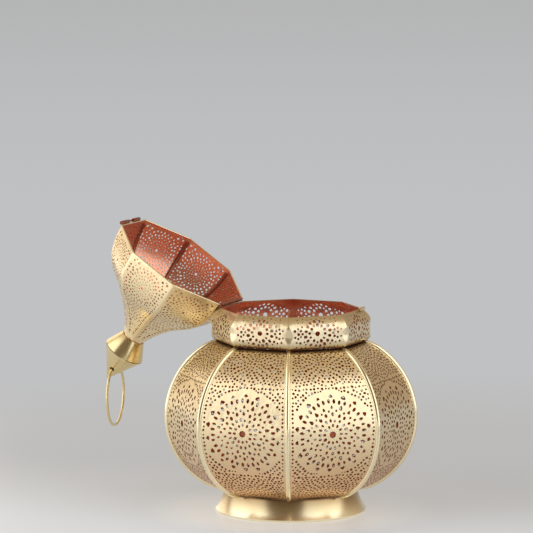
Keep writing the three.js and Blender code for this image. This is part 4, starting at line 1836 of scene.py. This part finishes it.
class ToneRamps(NodeWriter):
    """Smooth changes of tone across the floor and the surround."""

    def along(self, where: Socket, azimuth: float) -> Socket:
        """How far a place lies towards an azimuth, in degrees from -Y towards +X."""
        turn = math.radians(azimuth)
        return self.measure("DOT_PRODUCT", where, (math.sin(turn), -math.cos(turn), 0))

    def share(self, value: Socket, span: Span) -> Socket:
        """A value's smooth climb from 0 to 1 over a span."""
        low, high = span
        return self.add("ShaderNodeMapRange", {"Value": value, "From Min": low, "From Max": high},
                        interpolation_type="SMOOTHSTEP").outputs["Result"]

    def ramp(self, value: Socket, span: Span, start: Union[Tone, Socket], end: Union[Tone, Socket]) -> Socket:
        """A tone that changes as a value climbs.

        Args:
            value: The value.
            span: Where the change starts and ends.
            start: The first tone, linear, or the socket that carries it.
            end: The last tone, or its socket.

        Returns:
            The socket of the tone.
        """
        return self.mixed(self.share(value, span), start, end)


@dataclass(frozen=True)
class Softbox:
    """A large soft lamp that stands on the floor and faces the lantern.

    Attributes:
        name: The lamp's name.
        azimuth: Where it stands, in degrees from -Y towards +X.
        distance: Metres from the lantern.
        width: Metres.
        height: Metres.
        radiance: Brightness of its face, where 1 shows white.
        tone: Linear colour of its light.
        lift: Metres between the floor and its lower edge.
    """

    name: str
    azimuth: float
    distance: float
    width: float
    height: float
    radiance: float
    tone: Tone = (0.94, 1.0, 1.06)
    lift: float = 0.01

    def build(self) -> None:
        """Adds the lamp."""
        data = bpy.data.lights.new(self.name, "AREA")
        data.shape = "RECTANGLE"
        data.size, data.size_y = self.width, self.height
        data.color = self.tone
        data.energy = self.radiance * math.pi * self.width * self.height
        lamp = bpy.data.objects.new(self.name, data)
        turn = math.radians(self.azimuth)
        lamp.location = (self.distance * math.sin(turn), -self.distance * math.cos(turn),
                         self.height / 2 + self.lift)
        lamp.rotation_euler = (math.pi / 2, 0, turn)
        bpy.context.scene.collection.objects.link(lamp)


@dataclass
class Studio:
    """The pale floor, the soft lamps, the grey surround and the camera.

    Spans on the floor are metres, and spans on the surround are cosines of the angle from a direction. Turns
    are degrees from the camera's azimuth.
    """

    lamps: tuple[Softbox, ...] = (
        Softbox("left_softbox", azimuth=-56, distance=1.3, width=2.0, height=1.65, radiance=1.17),
        Softbox("right_softbox", azimuth=83, distance=1.3, width=1.9, height=1.85, radiance=1.2),
        Softbox("left_fill", azimuth=-124, distance=1.6, width=1.1, height=1.5, radiance=0.84,
                tone=(1.0, 0.9, 0.78)))
    camera_azimuth: float = 24.0
    camera_distance: float = 3.150
    camera_height: float = 0.5802
    camera_yaw: float = 24.35
    camera_pitch: float = -6.996
    lens: float = 272.4
    sensor_width: float = 36.0
    clip_end: float = 100.0
    floor_radius: float = 30.0
    floor_segments: int = 64
    floor_tone: Tone = (0.575, 0.625, 0.70)
    floor_roughness: float = 0.3
    floor_specular: float = 0.2
    front_glow: Tone = (0.24, 0.24, 0.24)
    back_glow: Tone = (0.06, 0.06, 0.065)
    glow_turn: float = -20.0
    glow_span: Span = (-0.20, 0.14)
    pool_glow: Tone = (0.42, 0.385, 0.33)
    pool_span: Span = (0.06, 0.125)
    far_tone: Tone = (0.53, 0.535, 0.545)
    deep_tone: Tone = (0.462, 0.464, 0.468)
    deep_span: Span = (1.2, 7.5)
    near_span: Span = (0.25, 0.85)
    left_tone: Tone = (0.98, 0.94, 0.88)
    left_turn: float = -75.0
    left_span: Span = (0.18, 0.5)
    lit_turn: float = -44.0
    lit_span: Span = (-0.30, 0.25)
    side_tone: Tone = (0.40, 0.32, 0.25)
    zenith_tone: Tone = (0.57, 0.46, 0.32)
    zenith_span: Span = (0.1, 0.7)
    front_tone: Tone = (0.20, 0.155, 0.11)
    front_span: Span = (0.35, 0.6)
    backdrop_turn: float = 180.0
    backdrop_span: Span = (0.80, 0.96)

    def build(self) -> None:
        """Builds the whole studio."""
        self.build_camera()
        self.build_floor()
        self.build_surround()
        for lamp in self.lamps:
            lamp.build()
        bpy.context.scene.view_settings.view_transform = "Standard"

    def build_camera(self) -> None:
        """Puts the camera at the photograph's viewing angle."""
        data = bpy.data.cameras.new("camera")
        data.lens = self.lens
        data.sensor_width = self.sensor_width
        data.clip_end = self.clip_end
        camera = bpy.data.objects.new("camera", data)
        turn = math.radians(self.camera_azimuth)
        camera.location = (self.camera_distance * math.sin(turn), -self.camera_distance * math.cos(turn),
                           self.camera_height)
        camera.rotation_euler = (math.radians(90 + self.camera_pitch), 0, math.radians(self.camera_yaw))
        bpy.context.scene.collection.objects.link(camera)
        bpy.context.scene.camera = camera

    def build_floor(self) -> None:
        """Lays the floor, which keeps the shadow near the lantern and fades to the surround's grey."""
        shape = bmesh.new()
        bmesh.ops.create_circle(shape, cap_ends=True, radius=self.floor_radius, segments=self.floor_segments)
        mesh = bpy.data.meshes.new("floor_sheet")
        shape.to_mesh(mesh)
        shape.free()
        floor = mesh_object("floor_sheet", mesh)
        made = bpy.data.materials.new("pale_floor")
        made.use_nodes = True
        ramps = ToneRamps(made.node_tree)
        where = ramps.add("ShaderNodeTexCoord").outputs["Object"]
        distance = ramps.measure("LENGTH", where)
        # A warm pool of glow round the foot: painted light, for the foot's warm reflection on the floor.
        pool = ramps.ramp(distance, self.pool_span, self.pool_glow, self.front_glow)
        front = ramps.along(where, self.camera_azimuth + self.glow_turn)
        paint = made.node_tree.nodes["Principled BSDF"]
        ramps.feed(paint, {
            "Base Color": (*self.floor_tone, 1), "Roughness": self.floor_roughness,
            "Specular IOR Level": self.floor_specular, "Emission Strength": 1.0,
            "Emission Color": ramps.ramp(front, self.glow_span, self.back_glow, pool)})
        behind = ramps.ramp(distance, self.deep_span, self.far_tone, self.deep_tone)
        left = ramps.along(where, self.camera_azimuth + self.left_turn)
        lit = ramps.ramp(ramps.along(where, self.camera_azimuth + self.lit_turn), self.lit_span,
                         behind, self.left_tone)
        glow = ramps.add("ShaderNodeEmission", {"Color": ramps.ramp(left, self.left_span, behind, lit)})
        surface = ramps.add("ShaderNodeMixShader", {
            0: ramps.share(distance, self.near_span), 1: paint.outputs[0], 2: glow.outputs[0]})
        ramps.feed(made.node_tree.nodes["Material Output"], {"Surface": surface.outputs[0]})
        mesh.materials.append(made)

    def build_surround(self) -> None:
        """Sets the surround: a grey backdrop behind the lantern, and a warm dim room elsewhere."""
        world = bpy.data.worlds.new("surround")
        bpy.context.scene.world = world
        world.use_nodes = True
        ramps = ToneRamps(world.node_tree)
        where = ramps.add("ShaderNodeTexCoord").outputs["Generated"]
        room = ramps.ramp(ramps.parts(where)[2], self.zenith_span, self.side_tone, self.zenith_tone)
        room = ramps.ramp(ramps.along(where, self.camera_azimuth), self.front_span, room, self.front_tone)
        behind = ramps.along(where, self.camera_azimuth + self.backdrop_turn)
        ramps.feed(world.node_tree.nodes["Background"], {
            "Color": ramps.ramp(behind, self.backdrop_span, room, self.deep_tone)})


def main() -> None:
    """Builds the studio and the lantern, piece by piece."""
    logging.basicConfig(level=logging.INFO, format="%(name)s %(message)s")
    Studio().build()
    piercing = PiercingTree()
    strip = StripTree()
    Foot().build()
    body = MelonBody()
    body.build(piercing, strip)
    collar = Collar(bottom=body.neck + SOLDER_GAP)
    collar.build(piercing)
    hinge = HingeAndClasp(rim=collar.rim)
    lid = DomeLid(rim_height=collar.rim + hinge.lid_gap)
    lid.build(piercing, strip)
    hinge.build()
    Finial(base=lid.rim_height + lid.height + SOLDER_GAP).build()


if __name__ == "__main__":
    main()
